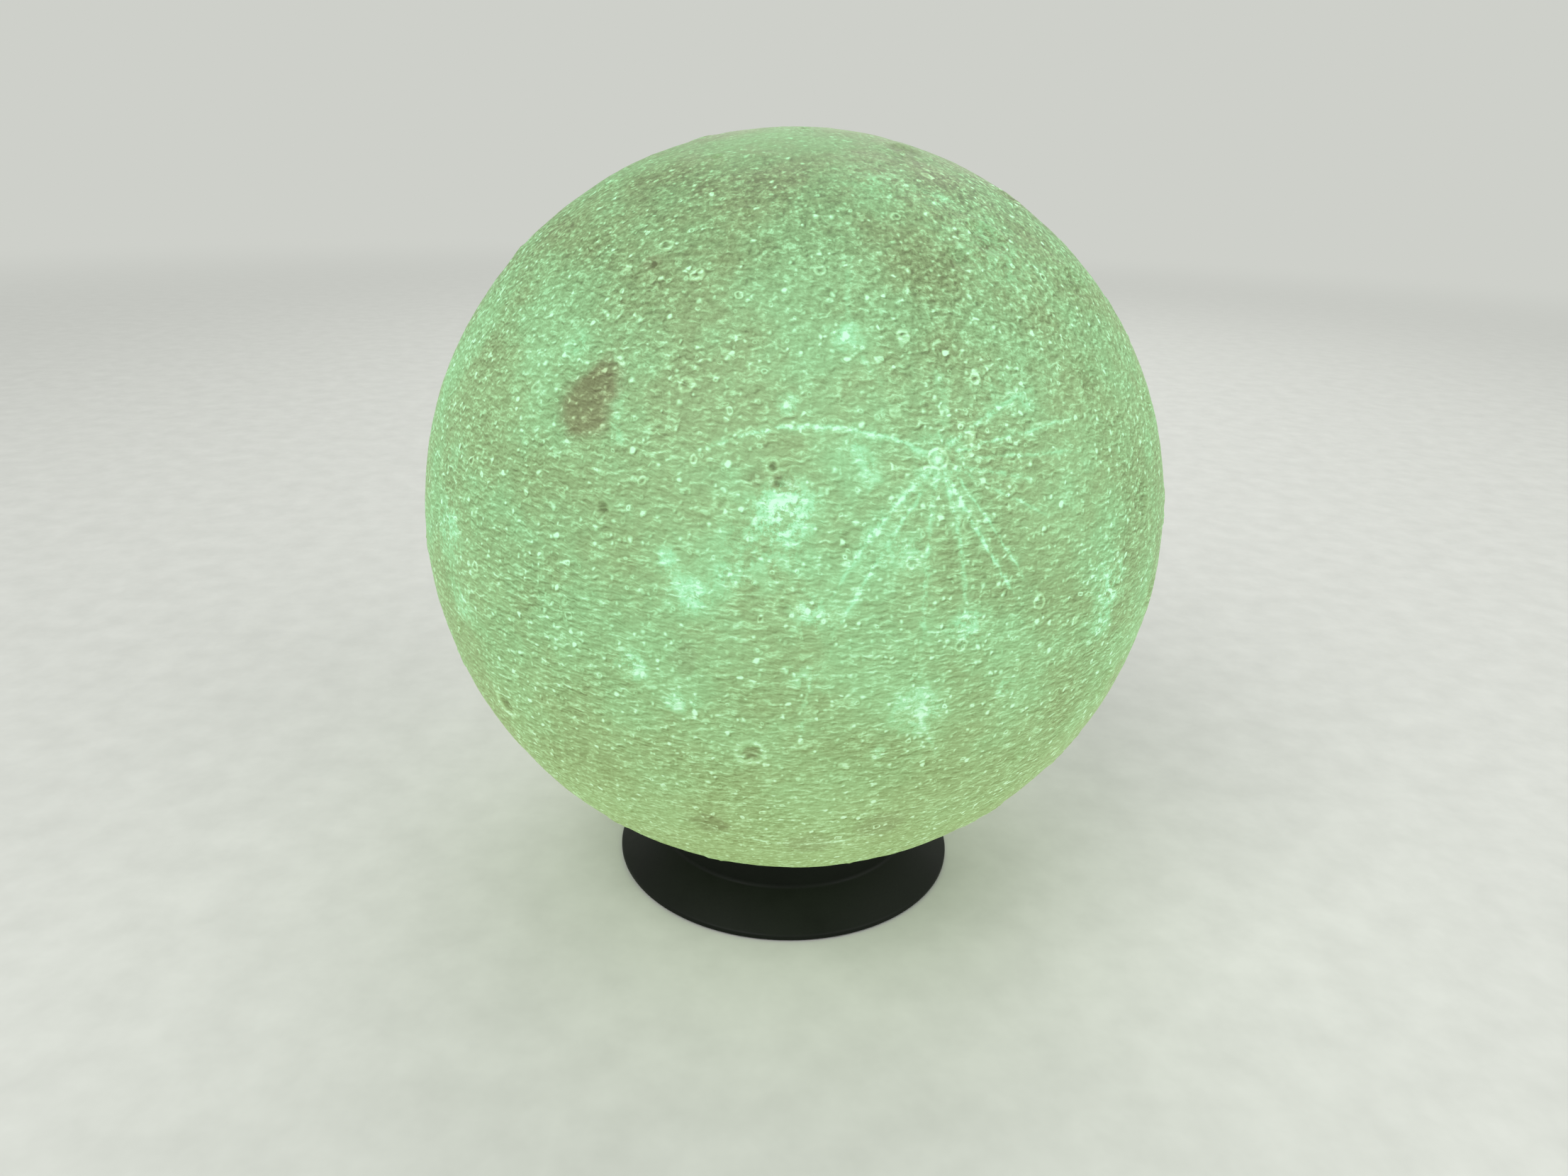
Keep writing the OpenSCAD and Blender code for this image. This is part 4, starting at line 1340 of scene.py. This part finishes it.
@dataclass
class Globe:
    """The printed globe: a thin ball with craters, cut flat and necked at the bottom."""

    wall: float = 2.0
    cut_r: float = 22.0
    neck_r: float = 21.5
    bore_r: float = 18.0
    neck_h: float = 8.0
    places: int = 150
    crater_r_min: float = 1.3
    crater_r_max: float = 4.4
    dip: float = 0.3
    rim_h: float = 0.25
    rim_width: float = 0.75
    peak_h: float = 0.45
    peak_from_r: float = 3.4
    crater_clear: float = 1.2
    axis_clear: float = 3.0
    lowest: float = -56.0
    golden: float = 137.508
    steps: int = 116
    inner_step: float = 4.5
    unevenness: float = 0.16
    rough_scale: float = 6.0
    fade_h: float = 5.0
    spread: float = 0.618
    bevel: float = 0.25
    crease: float = 50.0
    chosen: tuple[tuple[float, float, float], ...] = (
        (17.8, 22.6, 2.0), (16.0, -8.5, 1.7), (-3.1, 21.8, 1.3), (-24.0, 15.0, 1.5), (-4.9, -14.7, 2.4),
        (13.9, 10.8, 1.5), (-46.0, -18.2, 3.2), (6.5, 37.5, 1.6), (-11.9, 6.1, 1.3), (-27.0, 46.0, 1.5),
        (21.5, 14.8, 1.6), (-9.0, 17.5, 1.6), (-1.0, 5.6, 2.0), (46.2, 3.0, 2.6), (-12.0, -31.0, 3.6),
        (34.0, -20.0, 3.4), (-34.7, 34.0, 2.2), (30.0, 48.0, 3.0), (28.0, -7.0, 1.6), (-19.7, -3.8, 1.8))
    low: Vector = field(init=False)
    high: Vector = field(init=False)
    radius: float = field(init=False)
    middle_z: float = field(init=False)

    def __post_init__(self) -> None:
        """Take the globe's place from the frame."""
        low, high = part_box("globe_shell")
        self.low, self.high = low / MM, high / MM
        self.radius = (self.high.x - self.low.x) / 2
        self.middle_z = self.high.z - self.radius

    @property
    def cut_z(self) -> float:
        """Give the height of the flat cut."""
        return self.middle_z - math.sqrt(self.radius ** 2 - self.cut_r ** 2)

    def craters(self) -> list[tuple[Vector, float]]:
        """List the craters: the chosen ones, and plain ones spread by the golden angle.

        Returns:
            Each crater's direction and radius.
        """
        kept = [(toward(lon, lat), radius) for lon, lat, radius in self.chosen]
        for place in range(self.places):
            longitude = (place * self.golden) % 360
            latitude = math.degrees(math.asin(1 - 2 * (place + 0.5) / self.places))
            share = (place * self.spread + 0.1) % 1.0
            radius = self.crater_r_min + (self.crater_r_max - self.crater_r_min) * share ** 2
            middle = toward(longitude, latitude)
            edge = math.cos(math.radians(self.axis_clear) + math.asin(radius / self.radius))
            if latitude <= self.lowest or max(abs(middle.x), abs(middle.y), middle.z) >= edge:
                continue
            if all(self.radius * middle.angle(other) >= radius + other_r + self.crater_clear
                   for other, other_r in kept):
                kept.append((middle, radius))
        return kept

    def cube_ball(self) -> tuple[np.ndarray, np.ndarray]:
        """Make an even ball of quads from the six sides of a cube.

        Returns:
            Unit directions, and faces of four indices.
        """
        line = np.tan(np.linspace(-math.pi / 4, math.pi / 4, self.steps + 1))
        first, second = np.meshgrid(line, line, indexing="ij")
        index = np.arange((self.steps + 1) ** 2).reshape(self.steps + 1, self.steps + 1)
        quads = np.stack([index[:-1, :-1], index[1:, :-1], index[1:, 1:], index[:-1, 1:]], -1).reshape(-1, 4)
        points, faces = [], []
        for axis in range(3):
            for side in (1.0, -1.0):
                part = np.empty((first.size, 3))
                part[:, axis] = side
                part[:, (axis + 1) % 3] = first.ravel()
                part[:, (axis + 2) % 3] = side * second.ravel()
                faces.append(quads + len(points) * first.size)
                points.append(part)
        every = np.concatenate(points)
        every /= np.linalg.norm(every, axis=1, keepdims=True)
        _, kept, where = np.unique(np.round(every, 6), axis=0, return_index=True, return_inverse=True)
        return every[kept], where.ravel()[np.concatenate(faces)]

    def relief(self, way: np.ndarray) -> np.ndarray:
        """Work out how far the skin stands proud of a true ball.

        Args:
            way: Unit directions from the globe's middle.

        Returns:
            The relief of each in millimetres.
        """
        height = np.zeros(len(way))
        for middle, radius in self.craters():
            cosine = way @ np.array(middle)
            near = np.flatnonzero(cosine > math.cos((radius + 3 * self.rim_width) / self.radius))
            away = np.arccos(np.clip(cosine[near], -1, 1)) * self.radius
            depth = self.dip + radius ** 2 / (2 * self.radius)
            height[near] -= depth * np.clip(1 - (away / radius) ** 2, 0, 1)
            height[near] += self.rim_h * np.exp(-((away - radius) / self.rim_width) ** 2)
            if radius >= self.peak_from_r:
                height[near] += self.peak_h * np.exp(-(away / self.rim_width) ** 2)
        rough = [noise.fractal(Vector(point) * self.rough_scale, 0.6, 2.2, 4) for point in way]
        height += self.unevenness * np.clip(np.array(rough), -1, 1)
        above_cut = (way[:, 2] * self.radius + self.middle_z - self.cut_z) / self.fade_h
        return height * np.clip(above_cut, 0, 1) ** 2

    def neck_rings(self) -> Outline:
        """List the rings from the flat cut in through the neck and over the inside of the ball.

        Returns:
            Each ring's distance from the axis and height.
        """
        inner_r = self.radius - self.wall
        start = math.degrees(math.asin(self.neck_r / inner_r))
        rings = [(self.bore_r + self.bevel, self.cut_z), (self.bore_r, self.cut_z + self.bevel),
                 (self.bore_r, self.cut_z + self.neck_h), (self.neck_r, self.cut_z + self.neck_h)]
        count = round((180 - start) / self.inner_step)
        for step in range(count):
            angle = math.radians(start + (180 - start) * step / count)
            rings.append((inner_r * math.sin(angle), self.middle_z - inner_r * math.cos(angle)))
        return rings

    def build(self) -> bpy.types.Object:
        """Build the globe's watertight shell.

        Returns:
            The globe.
        """
        way, faces = self.cube_ball()
        height = self.relief(way)
        points = way * (self.radius + height)[:, None] + np.array((0, 0, self.middle_z))
        points = np.clip(points, np.array(self.low), np.array(self.high))
        mesh = bpy.data.meshes.new("moon_globe")
        mesh.from_pydata(points.tolist(), [], faces.tolist())
        level = mesh.attributes.new("relief", "FLOAT", "POINT")
        level.data.foreach_set("value", height.astype(np.float32))
        work = bmesh.new()
        work.from_mesh(mesh)
        whole = work.verts[:] + work.edges[:] + work.faces[:]
        cut = bmesh.ops.bisect_plane(work, geom=whole, plane_co=(0, 0, self.cut_z), plane_no=(0, 0, 1),
                                     clear_inner=True)
        edge = [part for part in cut["geom_cut"] if isinstance(part, bmesh.types.BMVert)]
        edge.sort(key=lambda corner: math.atan2(corner.co.y, corner.co.x))
        angles = [math.atan2(corner.co.y, corner.co.x) for corner in edge]
        for corner, angle in zip(edge, angles):
            corner.co = (self.cut_r * math.cos(angle), self.cut_r * math.sin(angle), self.cut_z)
        ring = edge
        for out, high in self.neck_rings():
            inner = [work.verts.new((out * math.cos(angle), out * math.sin(angle), high)) for angle in angles]
            for step in range(len(ring)):
                work.faces.new((ring[step - 1], ring[step], inner[step], inner[step - 1]))
            ring = inner
        top = work.verts.new((0, 0, self.middle_z + self.radius - self.wall))
        for step in range(len(ring)):
            work.faces.new((ring[step - 1], ring[step], top))
        bmesh.ops.recalc_face_normals(work, faces=work.faces)
        bmesh.ops.scale(work, vec=(MM, MM, MM), verts=work.verts)
        work.to_mesh(mesh)
        work.free()
        mesh.shade_smooth()
        mesh.set_sharp_from_angle(angle=math.radians(self.crease))
        globe = bpy.data.objects.new("moon_globe", mesh)
        bpy.context.scene.collection.objects.link(globe)
        return globe

    def assemble(self, materials: Materials) -> None:
        """Build and dress the globe.

        Args:
            materials: The materials by slot.
        """
        fit(self.build(), "globe", materials["globe_print"], "globe_print", "globe_shell")


@dataclass
class Stand:
    """The flared stand with its groove for the slip ring, its ribs and its pads."""

    hole_r: float = 23.2
    lip_w: float = 1.5
    groove_w: float = 3.1
    collar_wall: float = 1.5
    skirt_w: float = 9.1
    skirt_wall: float = 2.0
    crease_z: float = 7.1
    foot_edge_h: float = 1.0
    foot_gap: float = 0.3
    groove_z: float = 10.32
    seat_t: float = 1.6
    inner_wall_z: float = 1.3
    globe_gap: float = 0.8
    ribs: int = 8
    rib_t: float = 1.2
    rib_z: float = 2.0
    pads: int = 4
    pad_r: float = 3.0
    pad_t: float = 1.3
    pad_inset: float = 5.6
    recess_r: float = 3.1
    boss_r: float = 3.9
    boss_bevel: float = 0.15
    boss_rise: float = 1.0
    sole_grooves: tuple[float, ...] = (1.0, 2.0)
    sole_groove_w: float = 0.14
    sole_groove_h: float = 0.12
    pad_round: float = 0.3
    pad_slant: float = 0.08
    pad_gap: float = 0.05

    @property
    def groove_in(self) -> float:
        """Give the groove's inner radius."""
        return self.hole_r + self.lip_w

    @property
    def groove_out(self) -> float:
        """Give the groove's outer radius."""
        return self.groove_in + self.groove_w

    @property
    def collar_r(self) -> float:
        """Give the collar's radius."""
        return self.groove_out + self.collar_wall

    @property
    def foot_r(self) -> float:
        """Give the foot's radius."""
        return self.collar_r + self.skirt_w

    @property
    def slope(self) -> float:
        """Give the skirt's rise for each millimetre inwards."""
        return (self.crease_z - self.foot_gap - self.foot_edge_h) / self.skirt_w

    @property
    def drop(self) -> float:
        """Give the skirt's upright thickness."""
        return self.skirt_wall * math.hypot(1.0, self.slope)

    def skirt_z(self, out: float) -> float:
        """Give the height of the middle of the skirt's thickness at a distance from the axis."""
        return self.foot_gap + self.foot_edge_h + self.slope * (self.foot_r - out) - self.drop / 2

    def pad_places(self) -> list[tuple[float, float]]:
        """Give the places of the pads' middles."""
        at = self.foot_r - self.pad_inset
        turns = [math.tau * step / self.pads for step in range(self.pads)]
        return [(at * math.cos(turn), at * math.sin(turn)) for turn in turns]

    def section(self, globe: Globe) -> Outline:
        """Draw the stand's section.

        Args:
            globe: The globe that it clears.

        Returns:
            The closed outline.
        """
        clear = globe.radius + self.globe_gap

        def top(out: float) -> float:
            """Give the height of the globe's clearance at a distance from the axis."""
            return globe.middle_z - math.sqrt(clear ** 2 - out ** 2)

        seat = self.groove_z - self.seat_t
        inner = self.collar_r - self.skirt_wall
        skirt_foot = self.foot_r - (self.drop - self.foot_edge_h) / self.slope
        return rounded([
            (self.foot_r, self.foot_gap, 0.2), (self.foot_r, self.foot_gap + self.foot_edge_h, 0.7),
            (self.collar_r, self.crease_z, 1.1), (self.collar_r, top(self.collar_r), 0.6),
            (self.groove_out, top(self.groove_out), 0.35), (self.groove_out, self.groove_z, 0.2),
            (self.groove_in, self.groove_z, 0.2), (self.groove_in, top(self.groove_in), 0.3),
            (self.hole_r, top(self.hole_r), 0.4), (self.hole_r, self.inner_wall_z, 0.3),
            (self.groove_in, self.inner_wall_z, 0.3), (self.groove_in, seat, 0.5), (inner, seat, 0.5),
            (inner, self.skirt_z(inner) - self.drop / 2, 0.8), (skirt_foot, self.foot_gap, 0.2)])

    def build_shell(self, globe: Globe) -> bpy.types.Object:
        """Build the stand's shell with its ribs and the bosses round its pads.

        Args:
            globe: The globe that it clears.

        Returns:
            The stand.
        """
        shape = Shape()
        shape.revolve(self.section(globe), 192)
        inner = self.hole_r + self.lip_w / 2
        outer = self.collar_r - self.skirt_wall / 2
        seat = self.groove_z - self.seat_t / 2
        rib_foot = self.foot_r - (self.rib_z - self.skirt_z(self.foot_r)) / self.slope
        rib = rounded([(inner, self.rib_z, 0.3), (rib_foot, self.rib_z, 0.0),
                       (outer, self.skirt_z(outer), 0.0), (outer, seat, 0.0), (inner, seat, 0.0)])
        for step in range(self.ribs):
            shape.slab(rib, self.rib_t, (step + 0.5) * 360 / self.ribs)
        for at in self.pad_places():
            self.add_boss(shape, at)
        return shape.piece("stand_body")

    def add_boss(self, shape: Shape, at: tuple[float, float]) -> None:
        """Add the boss with the recess for one pad, its top hidden in the skirt.

        Args:
            shape: The shape that it goes into.
            at: Its middle.
        """
        start = len(shape.points)
        low, bevel, high_end = self.foot_gap, self.boss_bevel, self.pad_t + self.boss_rise
        outline = [(0.0, self.pad_t), (self.recess_r, self.pad_t), (self.recess_r, low + bevel),
                   (self.recess_r + bevel, low), (self.boss_r - bevel, low), (self.boss_r, low + bevel),
                   (self.boss_r, high_end), (0.0, high_end)]
        shape.revolve(outline, 48, at=at)
        for index in range(start, len(shape.points)):
            across, deep, high = shape.points[index]
            if high > self.pad_t + self.boss_rise / 2:
                top = max(self.skirt_z(math.hypot(across, deep)), low + 0.2)
                shape.points[index] = (across, deep, top)

    def build_pads(self) -> bpy.types.Object:
        """Build the pads, each with a rounded rim and two fine grooves in its sole.

        Returns:
            The pads.
        """
        shape = Shape()
        grooves = []
        wide = self.sole_groove_w
        for groove_r in self.sole_grooves:
            grooves += [(groove_r - wide, 0.0), (groove_r, self.sole_groove_h), (groove_r + wide, 0.0)]
        slant, top = self.pad_slant, self.pad_t - self.pad_gap
        rim = [(self.pad_r - self.pad_round, 0.0), (self.pad_r - slant, slant),
               (self.pad_r, self.pad_round), (self.pad_r, top), (0.0, top)]
        for at in self.pad_places():
            shape.revolve([(0.0, 0.0)] + grooves + rim, 64, at=at)
        return shape.piece("foot_pad_set")

    def assemble(self, globe: Globe, materials: Materials) -> None:
        """Build and dress the stand and its pads.

        Args:
            globe: The globe that it clears.
            materials: The materials by slot.
        """
        fit(self.build_shell(globe), "stand", materials["stand_black"], "stand_black", "stand_shell")
        fit(self.build_pads(), "stand", materials["pad_rubber"], "pad_rubber", "foot_pads")


@dataclass
class SlipRing:
    """The loose ring in the stand's groove on which the globe sits and turns."""

    side_gap: float = 0.3
    bore_gap: float = 0.1
    globe_gap: float = 0.3
    thickness: float = 2.4

    def build(self, stand: Stand, globe: Globe) -> bpy.types.Object:
        """Build the ring, its top dished to the globe.

        Args:
            stand: The stand whose groove holds it.
            globe: The globe that it carries.

        Returns:
            The ring.
        """
        clear = globe.radius + self.globe_gap
        inner, outer = stand.groove_in + self.bore_gap, stand.groove_out - self.side_gap
        middle = (stand.groove_in + stand.groove_out) / 2
        tops = [globe.middle_z - math.sqrt(clear ** 2 - out ** 2) for out in (inner, middle, outer)]
        low = tops[1] - self.thickness
        shape = Shape()
        shape.revolve(rounded([(inner, low, 0.2), (outer, low, 0.2), (outer, tops[2], 0.25),
                               (middle, tops[1], 0.0), (inner, tops[0], 0.25)], 4), 192)
        return shape.piece("slip_ring")

    def assemble(self, stand: Stand, globe: Globe, materials: Materials) -> None:
        """Build and dress the ring.

        Args:
            stand: The stand whose groove holds it.
            globe: The globe that it carries.
            materials: The materials by slot.
        """
        fit(self.build(stand, globe), "glide", materials["ring_slip"], "ring_slip", "glide_ring")


@dataclass
class CapWorks:
    """The plug in the globe's neck, with its touch ring and its charging socket."""

    ring_in: float = 12.5
    ring_out: float = 16.0
    ring_t: float = 1.2
    ring_round: float = 0.25
    ring_top_round: float = 0.1
    socket_w: float = 8.94
    socket_d: float = 3.26
    sheet: float = 0.3
    mouth_round: float = 0.1
    pin_count: int = 12
    pin_pitch: float = 0.5
    pin_w: float = 0.26
    pin_proud: float = 0.03
    pin_len: float = 4.2
    pin_inset: float = 0.6

    def build_touch_ring(self) -> bpy.types.Object:
        """Build the touch ring with rounded, turned edges.

        Returns:
            The ring.
        """
        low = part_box("touch_ring")[0].z / MM
        top = low + self.ring_t
        shape = Shape()
        shape.revolve(rounded([(self.ring_in, low, self.ring_round), (self.ring_out, low, self.ring_round),
                               (self.ring_out, top, self.ring_top_round),
                               (self.ring_in, top, self.ring_top_round)], 4), 160)
        return shape.piece("touch_ring_turned")

    def build_socket(self) -> bpy.types.Object:
        """Build the socket's drawn shell with its rounded mouth.

        Returns:
            The shell.
        """
        low, high = (corner.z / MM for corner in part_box("charge_socket"))
        bend = self.mouth_round
        rings = []
        for inset, at in ((0.0, high), (0.0, low + bend), (bend, low), (self.sheet - bend, low),
                          (self.sheet, low + bend), (self.sheet, high - self.sheet)):
            rings.append(obround(self.socket_w - 2 * inset, self.socket_d - 2 * inset, at))
        shape = Shape()
        shape.sweep(rings)
        return shape.piece("charge_socket_shell")

    def build_pins(self) -> bpy.types.Object:
        """Build the gilt contacts along both sides of the socket's tongue.

        Returns:
            The contacts.
        """
        low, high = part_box("socket_tongue")
        start, depth = low.z / MM + self.pin_inset, high.y / MM
        shape = Shape()
        for side in (1, -1):
            for pin in range(self.pin_count):
                across = (pin - (self.pin_count - 1) / 2) * self.pin_pitch
                half, bend = self.pin_w / 2, self.pin_w / 4
                outline = [(-half, 0.0), (-half + bend, -bend), (half - bend, -bend), (half, 0.0),
                           (half, self.pin_len), (-half, self.pin_len)]
                rings = [[(across + x, side * deep, start + z) for x, z in outline]
                         for deep in (depth - self.pin_proud, depth + self.pin_proud)]
                shape.sweep(rings)
        return shape.piece("socket_pins")

    def assemble(self, materials: Materials) -> None:
        """Build and dress the cap's pieces.

        Args:
            materials: The materials by slot.
        """
        fit(self.build_touch_ring(), "globe", materials["touch_metal"], "touch_metal", "touch_ring")
        fit(self.build_socket(), "globe", materials["socket_metal"], "socket_metal", "charge_socket")
        fit(self.build_pins(), "globe", materials["contact_gold"], "contact_gold")
        for node, slot in (("cap_housing", "cap_white"), ("touch_contact", "contact_gold"),
                           ("socket_tongue", "black_moulding"), ("ir_receiver", "black_moulding"),
                           ("charge_light_pipe", "clear_rod")):
            dress(node, materials[slot])


@dataclass
class InnerWorks:
    """The boards, the pillar, the cell and the light, which the globe closes in."""

    finish_of: tuple[tuple[str, str], ...] = (
        ("control_board", "board_green"), ("control_chips", "black_moulding"),
        ("control_board_screws", "screw_steel"), ("pillar", "cap_white"), ("pillar_screws", "screw_steel"),
        ("battery_cell", "cell_wrap"), ("battery_tabs", "nickel"), ("battery_pad", "foam_grey"),
        ("battery_leads", "wire_red"), ("led_carrier", "cap_white"), ("led_board", "board_white"),
        ("led_board_screws", "screw_steel"), ("led_emitters", "emitter"), ("led_leads", "wire_white"))

    def assemble(self, materials: Materials) -> None:
        """Dress the inner solids.

        Args:
            materials: The materials by slot.
        """
        for node, slot in self.finish_of:
            dress(node, materials[slot])


# ----------------------------------------------------------------------------------------------------
# The studio
# ----------------------------------------------------------------------------------------------------


class Fade(Enum):
    """How far from the lamp the floor starts and ends to fade into the backdrop, in metres."""

    START = 0.45
    END = 1.6


@dataclass(frozen=True)
class StudioFloor(Finish):
    """A plain pale floor with a soft grain, which fades into the backdrop far away."""

    name: str = "studio_floor"
    dark: Colour = srgb(196, 198, 192)
    light: Colour = srgb(204, 206, 200)
    backdrop: Colour = srgb(206, 208, 202)

    def make(self, effects: Effects) -> bpy.types.Material:
        """Make the material.

        Args:
            effects: The shared node groups.

        Returns:
            The material.
        """
        material, wiring, shader = self.start()
        place = self.place_mm(wiring)
        grain = wiring.effect(effects.moulded, Position=place, Size=1.6)
        wiring.feed(shader.inputs["Base Color"],
                    wiring.ramp(grain.outputs["Cloud"], [(0.3, self.dark), (0.7, self.light)]))
        wiring.feed(shader.inputs["Roughness"], wiring.band(grain.outputs["Speck"], 0.3, 0.7, 0.62, 0.74))
        shader.inputs["Specular IOR Level"].default_value = 0.2
        self.bump(wiring, shader, grain.outputs["Height"], 0.02, 0.3)
        glow = wiring.add("ShaderNodeEmission")
        glow.inputs["Color"].default_value = (*self.backdrop, 1.0)
        path = wiring.add("ShaderNodeLightPath")
        seen = wiring.math("MAXIMUM", path.outputs["Is Camera Ray"], path.outputs["Is Glossy Ray"])
        away = wiring.vector("LENGTH", wiring.vector("SCALE", place, scale=MM))
        far = wiring.band(away, Fade.START.value, Fade.END.value)
        mix = wiring.add("ShaderNodeMixShader")
        wiring.feed(mix.inputs[0], wiring.math("MULTIPLY", far, seen))
        wiring.feed(mix.inputs[1], shader.outputs["BSDF"])
        wiring.feed(mix.inputs[2], glow.outputs["Emission"])
        output = next(node for node in wiring.tree.nodes if node.type == "OUTPUT_MATERIAL")
        wiring.feed(output.inputs["Surface"], mix.outputs[0])
        return material


@dataclass(frozen=True)
class SoftBox:
    """A square area lamp that looks at the moon lamp: its place and size in metres, its power in watts."""

    name: str
    place: tuple[float, float, float]
    size: float
    power: float

    def build(self, target: Vector) -> None:
        """Put the lamp up.

        Args:
            target: What it points at.
        """
        light = bpy.data.lights.new(self.name, "AREA")
        light.shape = "SQUARE"
        light.size = self.size
        light.energy = self.power
        holder = bpy.data.objects.new(self.name, light)
        holder.location = self.place
        holder.rotation_euler = (target - Vector(self.place)).to_track_quat("-Z", "Y").to_euler()
        bpy.context.scene.collection.objects.link(holder)


@dataclass
class Studio:
    """The floor, the lamps, the pale surroundings and the camera.

    The floor's radii, the soft boxes and the clip are in metres, the camera's place, lens and sensor in
    millimetres, and its tilts in degrees.
    """

    floor_r: float = 6.0
    pitch: float = 21.66
    roll: float = 1.57
    lens: float = 26.37
    eye: tuple[float, float, float] = (-1.53, -234.35, 157.4)
    sensor: float = 36.0
    clip_start: float = 0.01
    surround: Colour = (0.5, 0.5, 0.5)
    floor_rings: tuple[float, ...] = (0.05, 0.15, 0.4, 1.0, 2.5)
    boxes: tuple[SoftBox, ...] = (
        SoftBox("key_box", (-0.5, -0.7, 0.95), 0.8, 9.0),
        SoftBox("fill_box", (0.8, -0.45, 0.6), 0.8, 4.0),
        SoftBox("back_box", (0.15, 0.8, 0.8), 0.9, 5.0))

    def build_floor(self, finish: bpy.types.Material) -> None:
        """Lay the floor.

        Args:
            finish: Its material.
        """
        shape = Shape()
        radii = [0.0, *self.floor_rings, self.floor_r]
        shape.revolve([(radius / MM, 0.0) for radius in radii], 96, closed=False)
        floor = shape.piece("studio_floor")
        floor.data.materials.append(finish)

    def build_world(self, backdrop: Colour) -> None:
        """Make the pale surroundings, which look like the backdrop and light the lamp evenly.

        Args:
            backdrop: The colour that is seen.
        """
        world = bpy.data.worlds.new("studio_world")
        world.use_nodes = True
        wiring = Wiring(world.node_tree)
        wiring.tree.nodes.clear()
        path = wiring.add("ShaderNodeLightPath")
        seen = wiring.math("MAXIMUM", path.outputs["Is Camera Ray"], path.outputs["Is Transmission Ray"])
        seen = wiring.math("MAXIMUM", seen, path.outputs["Is Glossy Ray"])
        ground = wiring.add("ShaderNodeBackground")
        wiring.feed(ground.inputs["Color"], wiring.blend(seen, self.surround, backdrop))
        output = wiring.add("ShaderNodeOutputWorld")
        wiring.feed(output.inputs["Surface"], ground.outputs[0])
        bpy.context.scene.world = world

    def build_camera(self) -> None:
        """Put the camera where the photograph was taken from."""
        camera = bpy.data.cameras.new("camera")
        camera.lens = self.lens
        camera.sensor_width = self.sensor
        camera.clip_start = self.clip_start
        pitch, roll = math.radians(self.pitch), math.radians(self.roll)
        ahead = Vector((0.0, math.cos(pitch), -math.sin(pitch)))
        level, upright = Vector((1.0, 0.0, 0.0)), Vector((0.0, math.sin(pitch), math.cos(pitch)))
        right = math.cos(roll) * level + math.sin(roll) * upright
        up = math.cos(roll) * upright - math.sin(roll) * level
        turn = Matrix((right, up, -ahead)).transposed().to_4x4()
        holder = bpy.data.objects.new("camera", camera)
        holder.matrix_world = Matrix.Translation(Vector(self.eye) * MM) @ turn
        bpy.context.scene.collection.objects.link(holder)
        bpy.context.scene.camera = holder

    def assemble(self, effects: Effects, target: Vector) -> None:
        """Build the studio.

        Args:
            effects: The shared node groups.
            target: What the lamps point at.
        """
        floor = StudioFloor()
        self.build_floor(floor.make(effects))
        self.build_world(floor.backdrop)
        for box in self.boxes:
            box.build(target)
        self.build_camera()
        bpy.context.scene.view_settings.view_transform = "Standard"


def write_sizes() -> None:
    bpy.context.view_layer.update()


def main() -> None:
    """Build the lamp and the studio."""
    logging.basicConfig(level=logging.INFO, format="%(message)s")
    effects = Effects()
    globe, stand = Globe(), Stand()
    listed = finishes(globe.radius, globe.middle_z)
    materials = {slot: finish.make(effects) for slot, finish in listed.items()}
    globe.assemble(materials)
    stand.assemble(globe, materials)
    SlipRing().assemble(stand, globe, materials)
    CapWorks().assemble(materials)
    InnerWorks().assemble(materials)
    Studio().assemble(effects, Vector((0.0, 0.0, globe.middle_z * MM)))
    write_sizes()


if __name__ == "__main__":
    main()
